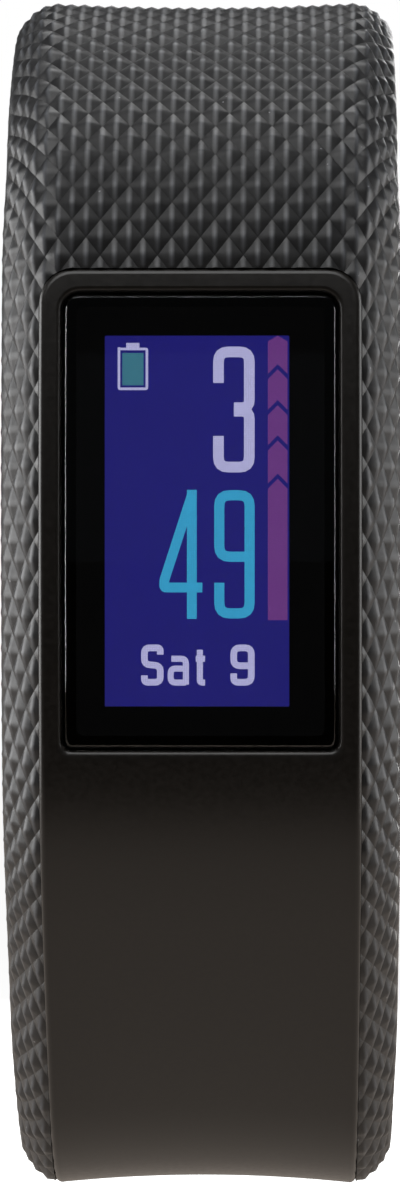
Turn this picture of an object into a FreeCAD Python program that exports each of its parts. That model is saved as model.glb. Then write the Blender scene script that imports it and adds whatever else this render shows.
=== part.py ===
"""Fitness tracker band: a rigid display module held in a moulded silicone band with a pin buckle.

All lengths are in millimetres. +X runs across the band, +Z runs up the band past the top of the
display, and the display faces -Y. The origin is the middle of the whole band's bounding box, which
lies in the wrist opening. The band is unbuckled and keeps its moulded curl.

The side view is drawn with two curves that start at the middle of the display's front face and run
along the outer surface: "upper" goes up over the shoulder to the buckle, "lower" goes down the chin
to the tail. A place is given by its length along such a curve and its depth below it.
"""

import FreeCAD, Part
import math
import os
from FreeCAD import Vector

# ---- driving dimensions: the outer line of the side view ---------------------------------------
FACE_RADIUS = 90.0          # gentle crown of the lens and its frame
UPPER_CROWN_DEG = 8.6       # where the crown ends above the lens
SHOULDER_RADIUS = 15.5      # tight bend of the band above the module
SHOULDER_DEG = 41.4
LOWER_CROWN_DEG = 8.0
CHIN_RADIUS = 21.0          # bend just under the lens
CHIN_DEG = 26.0
CHIN_FLAT_RADIUS = 70.0     # nearly straight stretch over the battery
CHIN_FLAT_DEG = 11.0
LOWER_STRAIGHT = 4.0        # short straight stretch of the lower arm
BUCKLE_ARM_RADIUS = 40.0    # one even bend, so that the keeper can slide along it
SIDE_RADIUS = 45.0          # slack bend of the tail arm, before the back
SIDE_DEG = 20.0

# ---- driving dimensions: the band --------------------------------------------------------------
BAND_HALF = 10.5            # half the band's full width, at the module
ARM_HALF = 9.0              # half width of the buckle arm past its taper
TAIL_HALF = 8.8             # half width of the tail, which has to pass the buckle
ROOT_THICK = 3.6            # thickness of both arms where they leave the module
ARM_THICK = 2.6             # thickness further along
RAIL_DEPTH = 3.6            # the sloping side rail is this deep at the module
SHOULDER = 1.4              # bevel along the outer edges of the arms
WRIST_BEVEL = 0.6           # bevel along the wrist edges
TAPER_START_Y = 21.5        # the arms narrow between these two distances behind the lens
TAPER_END_Y = 32.0
FLEX_GAP = 0.3              # slot between two lengths of the arm at a flex line
HOLE_PITCH = 6.3
HOLE_RADIUS = 1.15
HOLE_COUNT = 10
TAIL_MARGIN = 8.0           # from the last hole to the tip

# stations along the upper and the lower curve
LENS_HALF_HEIGHT = 12.0
RIM_TOP = 13.3
UPPER_FLEX = (24.7, 44.0)
BAR_STATION = 72.0
CHIN_END = 47.3
LOWER_FLEX = (50.0, 72.0, 97.2)
TAIL_TIP = 121.0
RAIL_FADE = {1: (13.3, 41.5), -1: (30.0, 49.0)}     # where the rail turns into the bevel
THICK_FADE = {1: (24.7, 50.0), -1: (50.0, 78.0)}    # where the arm thins

# ---- driving dimensions: the module ------------------------------------------------------------
FRONT_HALF = 8.45           # half width of the smooth front housing
FRONT_WALL = 1.3
RIM_CORNER = 1.8
LENS_HALF_WIDTH = 7.2
LENS_CORNER = 0.9
LENS_BACK = 1.5             # flat back of the lens
LENS_GAP = 0.06
SEAL = 0.15                 # thickness of adhesive and seals
TUB_WALL = 0.9
TUB_BACK = 8.2              # back face of the inner tub
COVER_BACK = 9.2            # skin face of the rear cover
SKIN_BACK = 9.0             # wrist face of the silicone around the cover
WINDOW_BACK = 10.9          # skin face of the sensor window
COVER_HALF = (7.3, 13.1)
PLUG_HALF = (6.5, 12.1)
WINDOW_HALF = 5.6
WINDOW_Z = 0.8
CONTACT_Z = -9.2
CONTACT_PITCH = 2.4
SCREW_AT = (5.4, 10.9)
VENT_AT = (3.4, 8.9)
DISPLAY_FLEX_X = (-3.9, -0.5)
BATTERY_LEAD_X = (0.6, 3.2)
MOTOR_Z = 8.6
MOTOR_RADIUS = 3.1

# ---- driving dimensions: the buckle ------------------------------------------------------------
BAR_RADIUS = 0.75
PIN_RADIUS = 0.42
PIN_TRAVEL = 0.9
RUNNING = 0.05              # radial clearance of shafts and pins
FRAME_IN = 9.2              # half width inside the buckle frame
FRAME_OUT = 10.9
FRAME_REACH = 10.0
FRAME_BAR = 1.7
FRAME_THICK = 1.9
TONGUE_HALF = 1.0
TONGUE_SLOT = 1.35
KEEPER_LENGTH = 5.0
KEEPER_STATION = 64.0
KEEPER_WALL = 1.2
KEEPER_GAP = 0.3
TAIL_ROOM = 2.8             # height in the keeper for the tail

WIDE = 30.0                 # longer than anything it cuts


def straight(length):
    return ("straight", length)


def arc(radius, degrees):
    return (radius, math.radians(degrees))


def reach_of(pieces):
    """How far a run of arcs and straights goes back and out, and its closing angle."""
    back = out = angle = 0.0
    for kind, value in pieces:
        if kind == "straight":
            back += value * math.sin(angle)
            out += value * math.cos(angle)
        else:
            back += kind * (math.cos(angle) - math.cos(angle + value))
            out += kind * (math.sin(angle + value) - math.sin(angle))
            angle += value
    return back, out, angle


class OuterLine:
    """The outer line of the band in the YZ plane, as tangent arcs and straights."""

    def __init__(self, pieces, up):
        self.up = up
        self.runs = []
        y = z = angle = station = 0.0
        for kind, value in pieces:
            length = value if kind == "straight" else kind * value
            self.runs.append((station, station + length, y, z, angle, kind))
            if kind == "straight":
                y += value * math.sin(angle)
                z += value * math.cos(angle)
            else:
                y += kind * (math.cos(angle) - math.cos(angle + value))
                z += kind * (math.sin(angle + value) - math.sin(angle))
                angle += value
            station += length
        self.length = station

    def run_at(self, s):
        for run in self.runs:
            if s <= run[1] + 1e-9:
                return run
        return self.runs[-1]

    def heading(self, s):
        start, _, _, _, angle, kind = self.run_at(s)
        return angle if kind == "straight" else angle + (s - start) / kind

    def point(self, s, depth=0.0, x=0.0):
        start, _, y, z, angle, kind = self.run_at(s)
        now = self.heading(s)
        if kind == "straight":
            y += (s - start) * math.sin(angle)
            z += (s - start) * math.cos(angle)
        else:
            y += kind * (math.cos(angle) - math.cos(now))
            z += kind * (math.sin(now) - math.sin(angle))
        y += depth * math.cos(now)
        z -= depth * math.sin(now)
        return Vector(x, y, self.up * z)

    def pieces_between(self, s0, s1):
        """The parts of each arc or straight that lie from s0 to s1."""
        for start, end, _, _, _, kind in self.runs:
            a, b = max(s0, start), min(s1, end)
            if b - a > 1e-6:
                yield a, b, kind

    def edges(self, s0, s1, depth):
        """Edges from s0 to s1, at a depth below the outer line."""
        found = []
        for a, b, kind in self.pieces_between(s0, s1):
            p, q = self.point(a, depth), self.point(b, depth)
            if kind == "straight":
                found.append(Part.LineSegment(p, q).toShape())
            else:
                middle = self.point((a + b) / 2, depth)
                found.append(Part.Arc(p, middle, q).toShape())
        return found

    def tangent(self, s):
        now = self.heading(s)
        return Vector(0, math.sin(now), self.up * math.cos(now))

    def outward(self, s):
        now = self.heading(s)
        return Vector(0, -math.cos(now), self.up * math.sin(now))

    def sweep(self, s0, s1, section):
        """A solid with one section, given as (x, depth) corners, carried along from s0 to s1."""
        solid = None
        for a, b, kind in self.pieces_between(s0, s1):
            corners = [self.point(a, depth, x) for x, depth in section]
            face = Part.Face(Part.makePolygon(corners + corners[:1]))
            if kind == "straight":
                piece = face.extrude(self.tangent(a) * (b - a))
            else:
                centre = self.point(a, kind)
                turn = -self.up * math.degrees((b - a) / kind)
                piece = face.revolve(centre, Vector(1, 0, 0), turn)
            piece = Part.Solid(piece.Shells[0]) if piece.ShapeType != "Solid" else piece
            if piece.Volume < 0:
                piece.reverse()
            solid = piece if solid is None else solid.fuse(piece)
        return solid.removeSplitter()


UPPER_FRONT = [
    arc(FACE_RADIUS, UPPER_CROWN_DEG),
    arc(SHOULDER_RADIUS, SHOULDER_DEG),
    arc(36.0, 10.0),
    arc(20.0, 30.0),
]
LOWER_FRONT = [
    arc(FACE_RADIUS, LOWER_CROWN_DEG),
    arc(CHIN_RADIUS, CHIN_DEG),
    arc(CHIN_FLAT_RADIUS, CHIN_FLAT_DEG),
    arc(18.0, 18.0),
    arc(13.0, 27.0),
    straight(LOWER_STRAIGHT),
]
UPPER_BACK, UPPER_OUT, _ = reach_of(UPPER_FRONT)
LOWER_BACK, LOWER_OUT, _ = reach_of(LOWER_FRONT)
# both arms start to bend back at the same distance behind the lens
UPPER_FRONT.append(straight(LOWER_BACK - UPPER_BACK))
SIDE_DROP = SIDE_RADIUS * (1 - math.cos(math.radians(SIDE_DEG)))
BACK_HEIGHT = UPPER_OUT + LOWER_OUT - 2 * SIDE_DROP
BACK_RADIUS = BACK_HEIGHT / 2 / math.sin(math.radians(90 - SIDE_DEG))
UPPER = OuterLine(UPPER_FRONT + [arc(BUCKLE_ARM_RADIUS, 60.0)], 1)
LOWER = OuterLine(LOWER_FRONT + [arc(SIDE_RADIUS, SIDE_DEG), arc(BACK_RADIUS, 110.0)], -1)


# ---- shape helpers -----------------------------------------------------------------------------
def block(x, y, z):
    """A box between three (low, high) pairs."""
    return Part.makeBox(
        x[1] - x[0], y[1] - y[0], z[1] - z[0], Vector(x[0], y[0], z[0])
    )


def plate(half_x, half_z, y, corner=0.0, x=0.0, z=0.0):
    """A plate in the XZ plane between two y values, with rounded corners."""
    solid = block((x - half_x, x + half_x), y, (z - half_z, z + half_z))
    if corner:
        upright = [e for e in solid.Edges if abs(e.tangentAt(e.FirstParameter).y) > 0.9]
        solid = solid.makeFillet(corner, upright)
    return solid


def rod(radius, y, x=0.0, z=0.0):
    """A cylinder along Y between two y values."""
    return Part.makeCylinder(radius, y[1] - y[0], Vector(x, y[0], z), Vector(0, 1, 0))


def cross_rod(radius, x, centre):
    """A cylinder along X between two x values, through a centre."""
    start = Vector(x[0], centre.y, centre.z)
    return Part.makeCylinder(radius, x[1] - x[0], start, Vector(1, 0, 0))


def side_prism(edges, half):
    """A closed side-view outline made as wide as the part, centred on X = 0."""
    face = Part.Face(Part.Wire(edges))
    face.translate(Vector(-half, 0, 0))
    return face.extrude(Vector(2 * half, 0, 0))


def line(p, q):
    return Part.LineSegment(p, q).toShape()


def chain(points):
    return [line(p, q) for p, q in zip(points, points[1:])]


def fused(solids):
    whole = solids[0]
    for solid in solids[1:]:
        whole = whole.fuse(solid)
    return whole.removeSplitter()


def group(solids):
    return Part.makeCompound(solids)


def blend(s, span, first, last):
    """A value that runs from first to last over a span of stations."""
    t = min(1.0, max(0.0, (s - span[0]) / (span[1] - span[0])))
    return first + (last - first) * t


def stations(line_, s0, s1):
    """Stations from s0 to s1, close enough together that a straight step fits each arc."""
    found = [s0]
    for a, b, kind in line_.pieces_between(s0, s1):
        step = 2.4 if kind == "straight" else math.sqrt(8 * kind * 0.012)
        count = max(1, math.ceil((b - a) / step))
        found += [a + (b - a) * k / count for k in range(1, count + 1)]
    return found


def loft(line_, s0, s1, section_of):
    """A solid through one section after another, each drawn as (x, depth) corners."""
    wires = []
    for s in stations(line_, s0, s1):
        corners = [line_.point(s, depth, x) for x, depth in section_of(s)]
        wires.append(Part.makePolygon(corners + corners[:1]))
    return Part.makeLoft(wires, True, True)


def both_sides(section):
    """A section and its mirror image across the middle of the band."""
    return [section, [(-x, depth) for x, depth in section]]


class Station:
    """A local frame on an outer line: t along it, n outwards, from a depth below it."""

    def __init__(self, line_, s, depth):
        self.centre = line_.point(s, depth)
        self.t = line_.tangent(s)
        self.n = line_.outward(s)

    def at(self, t, n, x=0.0):
        return self.centre + self.t * t + self.n * n + Vector(x, 0, 0)

    def slab(self, corners, x):
        """A side outline, given as (t, n) corners, made solid between two x values."""
        points = [self.at(t, n, x[0]) for t, n in corners]
        face = Part.Face(Part.makePolygon(points + points[:1]))
        return face.extrude(Vector(x[1] - x[0], 0, 0))

    def top_prism(self, outline, n):
        """A top-view outline, given as (x, t) corners, made solid between two n values."""
        points = [self.at(t, n[0], x) for x, t in outline]
        face = Part.Face(Part.makePolygon(points + points[:1]))
        return face.extrude(self.n * (n[1] - n[0]))


# ---- the module's outlines ---------------------------------------------------------------------
def front_line(s_up, s_down, depth):
    """Edges along the front from the lower station to the upper one, at a depth."""
    lower = LOWER.edges(0, s_down, depth)
    upper = UPPER.edges(0, s_up, depth)
    return lower[::-1] + upper


def tub_corners(inset):
    """Back corners of the tub's side view, from the chin end up to the top."""
    return [
        LOWER.point(CHIN_END - 0.4 - inset, 2.9 - inset),
        LOWER.point(35.5, 4.8 - inset),
        Vector(0, TUB_BACK - inset, -14.6 + inset / 2),
        Vector(0, TUB_BACK - inset, 13.0 - inset),
    ]


def tub_blank(inset, half, front_depth):
    """The tub as a full solid. A deeper inset and a smaller half width give its cavity."""
    s_up, s_down = 12.9 - inset, CHIN_END - 0.4 - inset
    back = tub_corners(inset)
    ends = [LOWER.point(s_down, front_depth)] + back + [UPPER.point(s_up, front_depth)]
    return side_prism(front_line(s_up, s_down, front_depth) + chain(ends), half)


def lens_outline(grow, y):
    half_x, half_z = LENS_HALF_WIDTH + grow, LENS_HALF_HEIGHT + grow
    return plate(half_x, half_z, y, LENS_CORNER + grow)


def crown_cut():
    """Everything in front of the crowned face."""
    edges = front_line(20.0, 20.0, 0.0)
    top, bottom = UPPER.point(20.0), LOWER.point(20.0)
    ends = chain([top, Vector(0, -5, top.z), Vector(0, -5, bottom.z), bottom])
    return side_prism(edges + ends, WIDE)


def housing_blank():
    """The smooth front shell before its window, with rounded upper corners."""
    section = [
        (-FRONT_HALF, 0.0), (FRONT_HALF, 0.0),
        (FRONT_HALF, FRONT_WALL), (-FRONT_HALF, FRONT_WALL),
    ]
    upper = UPPER.sweep(0, RIM_TOP, section)
    lower = LOWER.sweep(0, CHIN_END, section)
    shell = upper.fuse(lower).removeSplitter()
    top = UPPER.point(RIM_TOP).z
    keep = plate(FRONT_HALF, WIDE, (-5, 60), RIM_CORNER, z=top - WIDE)
    return shell.common(keep)


# ---- front of the module -----------------------------------------------------------------------
def lens_ledge():
    """Flat step behind the lens that its adhesive sits on."""
    return plate(FRONT_HALF - TUB_WALL - 0.1, 12.5, (LENS_BACK + SEAL, 2.3), 1.0)


def front_housing():
    shell = housing_blank().fuse(lens_ledge())
    shell = shell.cut(lens_outline(LENS_GAP, (-5, LENS_BACK + SEAL)))
    return shell.cut(plate(6.4, 11.1, (-5, 5), 0.4)).removeSplitter()


def lens():
    blank = lens_outline(0.0, (-1, LENS_BACK)).cut(crown_cut())
    rim = [e for e in blank.Edges if e.BoundBox.YMax < 1.2]
    return blank.makeChamfer(0.22, rim)


def lens_adhesive():
    ring = lens_outline(-0.1, (LENS_BACK, LENS_BACK + SEAL))
    return ring.cut(plate(6.5, 11.2, (0, 5), 0.4))


def border_mask():
    sheet = plate(6.3, 11.0, (LENS_BACK, LENS_BACK + 0.06), 0.3)
    return sheet.cut(plate(4.83, 9.68, (0, 5)))


def display_holder():
    tray = plate(6.3, 11.0, (2.0, 3.8), 0.3)
    low, high = DISPLAY_FLEX_X
    slot = block((low - 0.1, high + 0.1), (1.9, 2.7), (-12, -10.5))
    return tray.cut(plate(6.0, 10.85, (1.0, 3.6))).cut(slot)


def display_flex():
    """Thin ribbon from the foot of the display, round the board's edge, to its connector."""
    run = [
        block(DISPLAY_FLEX_X, (2.3, 2.45), (-11.35, -10.85)),
        block(DISPLAY_FLEX_X, (2.3, 5.6), (-11.5, -11.35)),
        block(DISPLAY_FLEX_X, (5.45, 5.6), (-11.5, -9.2)),
    ]
    return fused(run)


# ---- inside of the module ----------------------------------------------------------------------
def screw_places():
    return [(x * SCREW_AT[0], z * SCREW_AT[1]) for x in (-1, 1) for z in (-1, 1)]


def mid_frame():
    frame = plate(7.3, 11.9, (3.9, 4.35), 0.8)
    posts = [rod(1.1, (4.35, 7.2), x, z) for x, z in screw_places()]
    frame = fused([frame] + posts)
    frame = frame.cut(block((-4.1, 4.1), (0, 8), (-13, -11.2)))
    for x, z in screw_places():
        frame = frame.cut(rod(0.5, (4.6, 8), x, z))
    return frame


def main_board():
    board = plate(7.2, 11.3, (4.5, 5.05), 0.6, z=0.45)
    for x, z in screw_places():
        board = board.cut(rod(1.4, (4, 6), x, z))
    return board


def board_chips():
    y = (5.05, 5.95)
    chips = [
        block((-6.8, -4.9), y, (-7.0, -3.4)),
        block((-6.8, -5.2), y, (-1.6, 1.8)),
        block((5.0, 6.9), y, (-6.0, -3.8)),
        block((5.2, 6.8), y, (-1.0, 3.4)),
    ]
    passives = [
        block((4.9 + 0.9 * k, 5.4 + 0.9 * k), (5.05, 5.4), (5.0, 6.0)) for k in range(2)
    ]
    return group(chips + passives)


def flex_connectors():
    return group([
        block(DISPLAY_FLEX_X, (5.05, 5.45), (-10.6, -9.2)),
        block(BATTERY_LEAD_X, (5.05, 5.45), (-8.6, -7.2)),
    ])


def vibration_motor_can():
    can = rod(MOTOR_RADIUS, (5.1, 7.3), z=MOTOR_Z)
    return can.cut(rod(MOTOR_RADIUS - 0.25, (5.3, 7.1), z=MOTOR_Z)).fuse(
        rod(0.3, (5.3, 7.1), z=MOTOR_Z)
    ).removeSplitter()


def motor_rotor():
    """Half-disc weight on a hub, which shakes the module as it turns."""
    y = (5.45, 6.95)
    disc = rod(MOTOR_RADIUS - 0.45, y, z=MOTOR_Z)
    weight = disc.common(block((-5, 5), (5, 7), (MOTOR_Z, MOTOR_Z + 5)))
    hub = rod(0.9, y, z=MOTOR_Z)
    return weight.fuse(hub).cut(rod(0.3 + RUNNING, (5, 8), z=MOTOR_Z)).removeSplitter()


def battery():
    """Flat pouch cell that lies in the chin."""
    middle = Station(LOWER, 27.0, 0.0)
    cell = middle.slab([(-5.9, -2.0), (5.9, -2.0), (5.9, -4.2), (-5.9, -4.2)], (-6.8, 6.8))
    return cell.makeFillet(0.5, cell.Edges)


def battery_lead():
    """Thin ribbon from the head of the cell to its connector."""
    head = Station(LOWER, 27.0, 0.0).at(-5.9, -3.1)
    bend = Vector(0, 5.6, -12.4)
    end = Vector(0, 5.6, -7.2)
    ahead = Vector(0, -0.15, 0)
    points = [head, bend, end, end + ahead, bend + ahead + Vector(0, 0, 0.02), head + ahead]
    low, high = BATTERY_LEAD_X
    lead = side_prism(chain(points + points[:1]), (high - low) / 2)
    lead.translate(Vector((high + low) / 2, 0, 0))
    return lead


def antenna():
    half = 6.6
    section = [(-half, 1.4), (half, 1.4), (half, 1.55), (-half, 1.55)]
    return LOWER.sweep(15.5, 44.0, section)


def chassis_tub():
    tub = tub_blank(0.0, FRONT_HALF, FRONT_WALL + SEAL)
    tub = tub.cut(tub_blank(TUB_WALL, FRONT_HALF - TUB_WALL, 0.6))
    tub = tub.cut(plate(PLUG_HALF[0], PLUG_HALF[1], (7, 9), 0.8))
    tub = tub.cut(seal_ring(0.0))
    return tub.cut(housing_blank()).cut(front_housing()).removeSplitter()


def seal_ring(grow):
    y = (TUB_BACK - 0.35, TUB_BACK)
    ring = plate(PLUG_HALF[0] + 0.62 + grow, PLUG_HALF[1] + 0.62 + grow, y, 1.2)
    hole_y = (TUB_BACK - 1, TUB_BACK + 1)
    return ring.cut(plate(PLUG_HALF[0] + 0.22, PLUG_HALF[1] + 0.22, hole_y, 0.9))


def housing_adhesive():
    """Thin bead between the tub's rim and the front housing, along both sides."""
    strips = []
    for section in both_sides([
        (FRONT_HALF - 0.8, FRONT_WALL), (FRONT_HALF - 0.05, FRONT_WALL),
        (FRONT_HALF - 0.05, FRONT_WALL + SEAL), (FRONT_HALF - 0.8, FRONT_WALL + SEAL),
    ]):
        strips.append(
            UPPER.sweep(0, 11.2, section).fuse(LOWER.sweep(0, CHIN_END - 1.5, section))
            .removeSplitter()
        )
    return group([strip.cut(lens_ledge()) for strip in strips])


# ---- skin side of the module -------------------------------------------------------------------
def cover_blank():
    outer = plate(COVER_HALF[0], COVER_HALF[1], (TUB_BACK, COVER_BACK), 1.6)
    return outer.fuse(plate(PLUG_HALF[0] - 0.05, PLUG_HALF[1] - 0.05, (7.5, TUB_BACK), 0.8))


def contact_places():
    return [(CONTACT_PITCH * (k - 1.5), CONTACT_Z) for k in range(4)]


def rear_cover():
    cover = cover_blank()
    for x, z in screw_places():
        cover = cover.cut(rod(0.65, (7, 10), x, z))
        cover = cover.cut(rod(1.15, (COVER_BACK - 0.6, 10), x, z))
    for x, z in contact_places():
        cover = cover.cut(plate(0.7, 1.1, (7, 10), 0.3, x, z))
    half = WINDOW_HALF - 0.5
    cover = cover.cut(plate(WINDOW_HALF, WINDOW_HALF, (8.3, 10), 1.8, z=WINDOW_Z))
    cover = cover.cut(plate(half, half, (7, 10), 1.4, z=WINDOW_Z))
    return cover.cut(rod(0.4, (7, 10), *VENT_AT)).removeSplitter()


def sensor_window():
    """Clear raised window over the pulse sensor, with a sloping edge."""
    flange = plate(WINDOW_HALF - 0.04, WINDOW_HALF - 0.04, (8.3, COVER_BACK), 1.7, z=WINDOW_Z)
    dome = plate(
        WINDOW_HALF - 0.04, WINDOW_HALF - 0.04, (COVER_BACK, WINDOW_BACK), 1.7, z=WINDOW_Z
    )
    top = [e for e in dome.Edges if e.BoundBox.YMin > WINDOW_BACK - 0.01]
    return flange.fuse(dome.makeChamfer(1.2, top)).removeSplitter()


def sensor_board():
    return plate(4.9, 4.5, (6.9, 7.3), 0.6, z=WINDOW_Z)


def sensor_leds():
    return group([
        block((x - 0.8, x + 0.8), (7.3, 8.1), (WINDOW_Z - 0.7, WINDOW_Z + 0.7))
        for x in (-3.6, 3.6)
    ])


def photodiode():
    return block((-1.5, 1.5), (7.3, 8.0), (WINDOW_Z - 1.5, WINDOW_Z + 1.5))


def light_baffle():
    """Opaque walls that keep the sensor's own light off the photodiode."""
    ring = block((-2.4, 2.4), (7.3, 8.25), (WINDOW_Z - 2.4, WINDOW_Z + 2.4))
    return ring.cut(block((-2.0, 2.0), (7, 9), (WINDOW_Z - 2.0, WINDOW_Z + 2.0)))


def charging_contacts():
    pads = []
    for x, z in contact_places():
        head = plate(0.65, 1.05, (7.9, COVER_BACK), 0.28, x, z)
        pads.append(head.fuse(rod(0.35, (7.1, 7.9), x, z)).removeSplitter())
    return group(pads)


def cover_screws():
    screws = []
    for x, z in screw_places():
        head = rod(1.05, (COVER_BACK - 0.6, COVER_BACK - 0.1), x, z)
        shank = rod(0.5, (4.7, COVER_BACK - 0.6), x, z)
        recess = rod(0.45, (COVER_BACK - 0.35, COVER_BACK), x, z)
        screws.append(head.fuse(shank).cut(recess).removeSplitter())
    return group(screws)


def vent_membrane():
    return rod(0.9, (7.35, 7.5), *VENT_AT)


# ---- the silicone band -------------------------------------------------------------------------
def half_width(y, end_half):
    """Half width of the band this far behind the lens, for an arm that ends up this narrow."""
    return blend(y, (TAPER_START_Y, TAPER_END_Y), BAND_HALF, end_half)


def rail_corner(line_, s, end_half):
    """Where the flat outside ends, and where the sloping side reaches the full width."""
    half = half_width(line_.point(s).y, end_half)
    run = blend(s, RAIL_FADE[line_.up], BAND_HALF - FRONT_HALF, SHOULDER)
    drop = blend(s, RAIL_FADE[line_.up], RAIL_DEPTH, SHOULDER)
    return half, run, drop


def thickness(line_, s):
    return blend(s, THICK_FADE[line_.up], ROOT_THICK, ARM_THICK)


def arm_section(line_, s, end_half):
    """Section of an arm: flat outside with sloping shoulders, and bevelled wrist edges."""
    half, run, drop = rail_corner(line_, s, end_half)
    deep = thickness(line_, s)
    side = [
        (half - run, 0.0), (half, min(drop, deep - 2 * WRIST_BEVEL)),
        (half, deep - WRIST_BEVEL), (half - WRIST_BEVEL, deep),
    ]
    return side + [(-x, depth) for x, depth in reversed(side)]


def arm_length(line_, s0, s1, end_half):
    """One length of an arm between two flex lines."""
    ends = (s0 + FLEX_GAP / 2, s1 - FLEX_GAP / 2)
    return loft(line_, *ends, lambda s: arm_section(line_, s, end_half))


def band_back():
    """Corners of the band's wrist face at the module, from the upper flex line to the lower."""
    s_up, s_down = UPPER_FLEX[0] - FLEX_GAP / 2, LOWER_FLEX[0] - FLEX_GAP / 2
    return [
        UPPER.point(s_up, ROOT_THICK),
        Vector(0, SKIN_BACK, 18.0),
        Vector(0, SKIN_BACK, -14.9),
        LOWER.point(35.5, 5.7),
        LOWER.point(LOWER_FLEX[0] - 3.0, 3.9),
        LOWER.point(s_down, ROOT_THICK),
    ]


def rail_cutters():
    """What is cut away outside the sloping side rails."""
    cuts = []
    for line_, end in ((UPPER, UPPER_FLEX[0] + 1), (LOWER, LOWER_FLEX[0] + 1)):
        for side in (1, -1):
            def outside(s):
                half, run, drop = rail_corner(line_, s, ARM_HALF)
                slope = run / drop
                return [
                    (side * (half - run - slope), -1.0), (side * half, drop),
                    (side * half, 16.0), (side * (half + 4), 16.0), (side * (half + 4), -1.0),
                ]
            cuts.append(loft(line_, 0.0, end, outside))
    return cuts


def strap_surround():
    """The part of the band moulded round the rigid module, with both side rails."""
    s_up, s_down = UPPER_FLEX[0] - FLEX_GAP / 2, LOWER_FLEX[0] - FLEX_GAP / 2
    ends = [UPPER.point(s_up)] + band_back() + [LOWER.point(s_down)]
    body = side_prism(front_line(s_up, s_down, 0.0) + chain(ends), BAND_HALF)
    for cutter in rail_cutters() + [housing_blank(), tub_blank(0.0, FRONT_HALF, FRONT_WALL)]:
        body = body.cut(cutter)
    return body.cut(plate(COVER_HALF[0], COVER_HALF[1], (7, 12), 1.6)).removeSplitter()


def upper_strap():
    return arm_length(UPPER, UPPER_FLEX[0], UPPER_FLEX[1], ARM_HALF)


def buckle_strap():
    """Last length of the upper arm: its end is rolled round the spring bar."""
    bar = bar_station()
    strap = arm_length(UPPER, UPPER_FLEX[1], BAR_STATION + FLEX_GAP / 2, ARM_HALF)
    strap = strap.fuse(cross_rod(ARM_THICK / 2 + 0.25, (-8.9, 8.9), bar.centre))
    strap = strap.cut(cross_rod(BAR_RADIUS + RUNNING, (-WIDE, WIDE), bar.centre))
    away = [(-3.4, -4), (-3.4, 4), (4, 4), (4, -4)]
    strap = strap.cut(bar.slab(away, (-TONGUE_SLOT, TONGUE_SLOT)))
    for side in (1, -1):
        low, high = sorted((side * 8.9, side * 14))
        strap = strap.cut(bar.slab(away, (low, high)))
    return strap.removeSplitter()


def tail_holes():
    """The row of adjustment holes, each a rod through the tail."""
    cutters = []
    for k in range(HOLE_COUNT):
        s = TAIL_TIP - TAIL_MARGIN - k * HOLE_PITCH
        centre, out = LOWER.point(s, ROOT_THICK + 1), LOWER.outward(s)
        cutters.append(Part.makeCylinder(HOLE_RADIUS, ROOT_THICK + 2, centre, out))
    return cutters


def tail_length(s0, s1):
    solid = arm_length(LOWER, s0, s1, TAIL_HALF)
    for cutter in tail_holes():
        solid = solid.cut(cutter)
    return solid


def tail_tip():
    """The last length of the tail, with a rounded end."""
    solid = tail_length(LOWER_FLEX[2], TAIL_TIP + FLEX_GAP / 2)
    tip = Station(LOWER, TAIL_TIP - 5.0, 0.0)
    half = TAIL_HALF + 0.02
    turns = [math.radians(10 * k) for k in range(19)]
    end = [(half * math.cos(a), 4.9 * math.sin(a)) for a in turns]
    return solid.common(tip.top_prism([(half, -40)] + end + [(-half, -40)], (-20, 20)))


# ---- buckle and keeper -------------------------------------------------------------------------
def bar_station():
    """Local frame on the spring bar's axis."""
    return Station(UPPER, BAR_STATION, ARM_THICK / 2)


def spring_bar_tube():
    bar = bar_station()
    tube = cross_rod(BAR_RADIUS, (-8.6, 8.6), bar.centre)
    return tube.cut(cross_rod(PIN_RADIUS + RUNNING, (-WIDE, WIDE), bar.centre))


def spring_bar_pin(side):
    """Sprung end pin: it slides into the tube to let the buckle go."""
    bar = bar_station()
    low, high = sorted((side * 5.6, side * (FRAME_IN + 0.9)))
    return cross_rod(PIN_RADIUS, (low, high), bar.centre)


def spring_bar_spring():
    """Compression spring between the two pins, as a stack of plain turns."""
    bar = bar_station()
    turns = []
    pitch, wire, radius = 0.61, 0.09, 0.30
    for k in range(19):
        x = (k - 9) * pitch
        place = Vector(x, bar.centre.y, bar.centre.z)
        turns.append(Part.makeTorus(radius, wire, place, Vector(1, 0, 0)))
    return group(turns)


def buckle_frame():
    bar = bar_station()
    half_thick = FRAME_THICK / 2
    outline = [
        (-FRAME_OUT, -1.6), (-FRAME_OUT, FRAME_REACH - 2.2), (-FRAME_OUT + 2.2, FRAME_REACH),
        (FRAME_OUT - 2.2, FRAME_REACH), (FRAME_OUT, FRAME_REACH - 2.2), (FRAME_OUT, -1.6),
    ]
    frame = bar.top_prism(outline, (-half_thick, half_thick))
    inner = FRAME_REACH - FRAME_BAR
    opening = [
        (-FRAME_IN, -3), (-FRAME_IN, inner - 1.0), (-FRAME_IN + 1.0, inner),
        (FRAME_IN - 1.0, inner), (FRAME_IN, inner - 1.0), (FRAME_IN, -3),
    ]
    frame = frame.cut(bar.top_prism(opening, (-4, 4)))
    rest = bar.slab(
        [(inner - 1, half_thick - 0.35), (inner - 1, 4), (FRAME_REACH + 1, 4),
         (FRAME_REACH + 1, half_thick - 0.35)],
        (-TONGUE_HALF - 0.2, TONGUE_HALF + 0.2),
    )
    frame = frame.cut(rest)
    for side in (1, -1):
        low, high = sorted((side * (FRAME_IN - 0.5), side * (FRAME_IN + 1.1)))
        frame = frame.cut(cross_rod(PIN_RADIUS + RUNNING, (low, high), bar.centre))
    return frame.removeSplitter()


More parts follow.
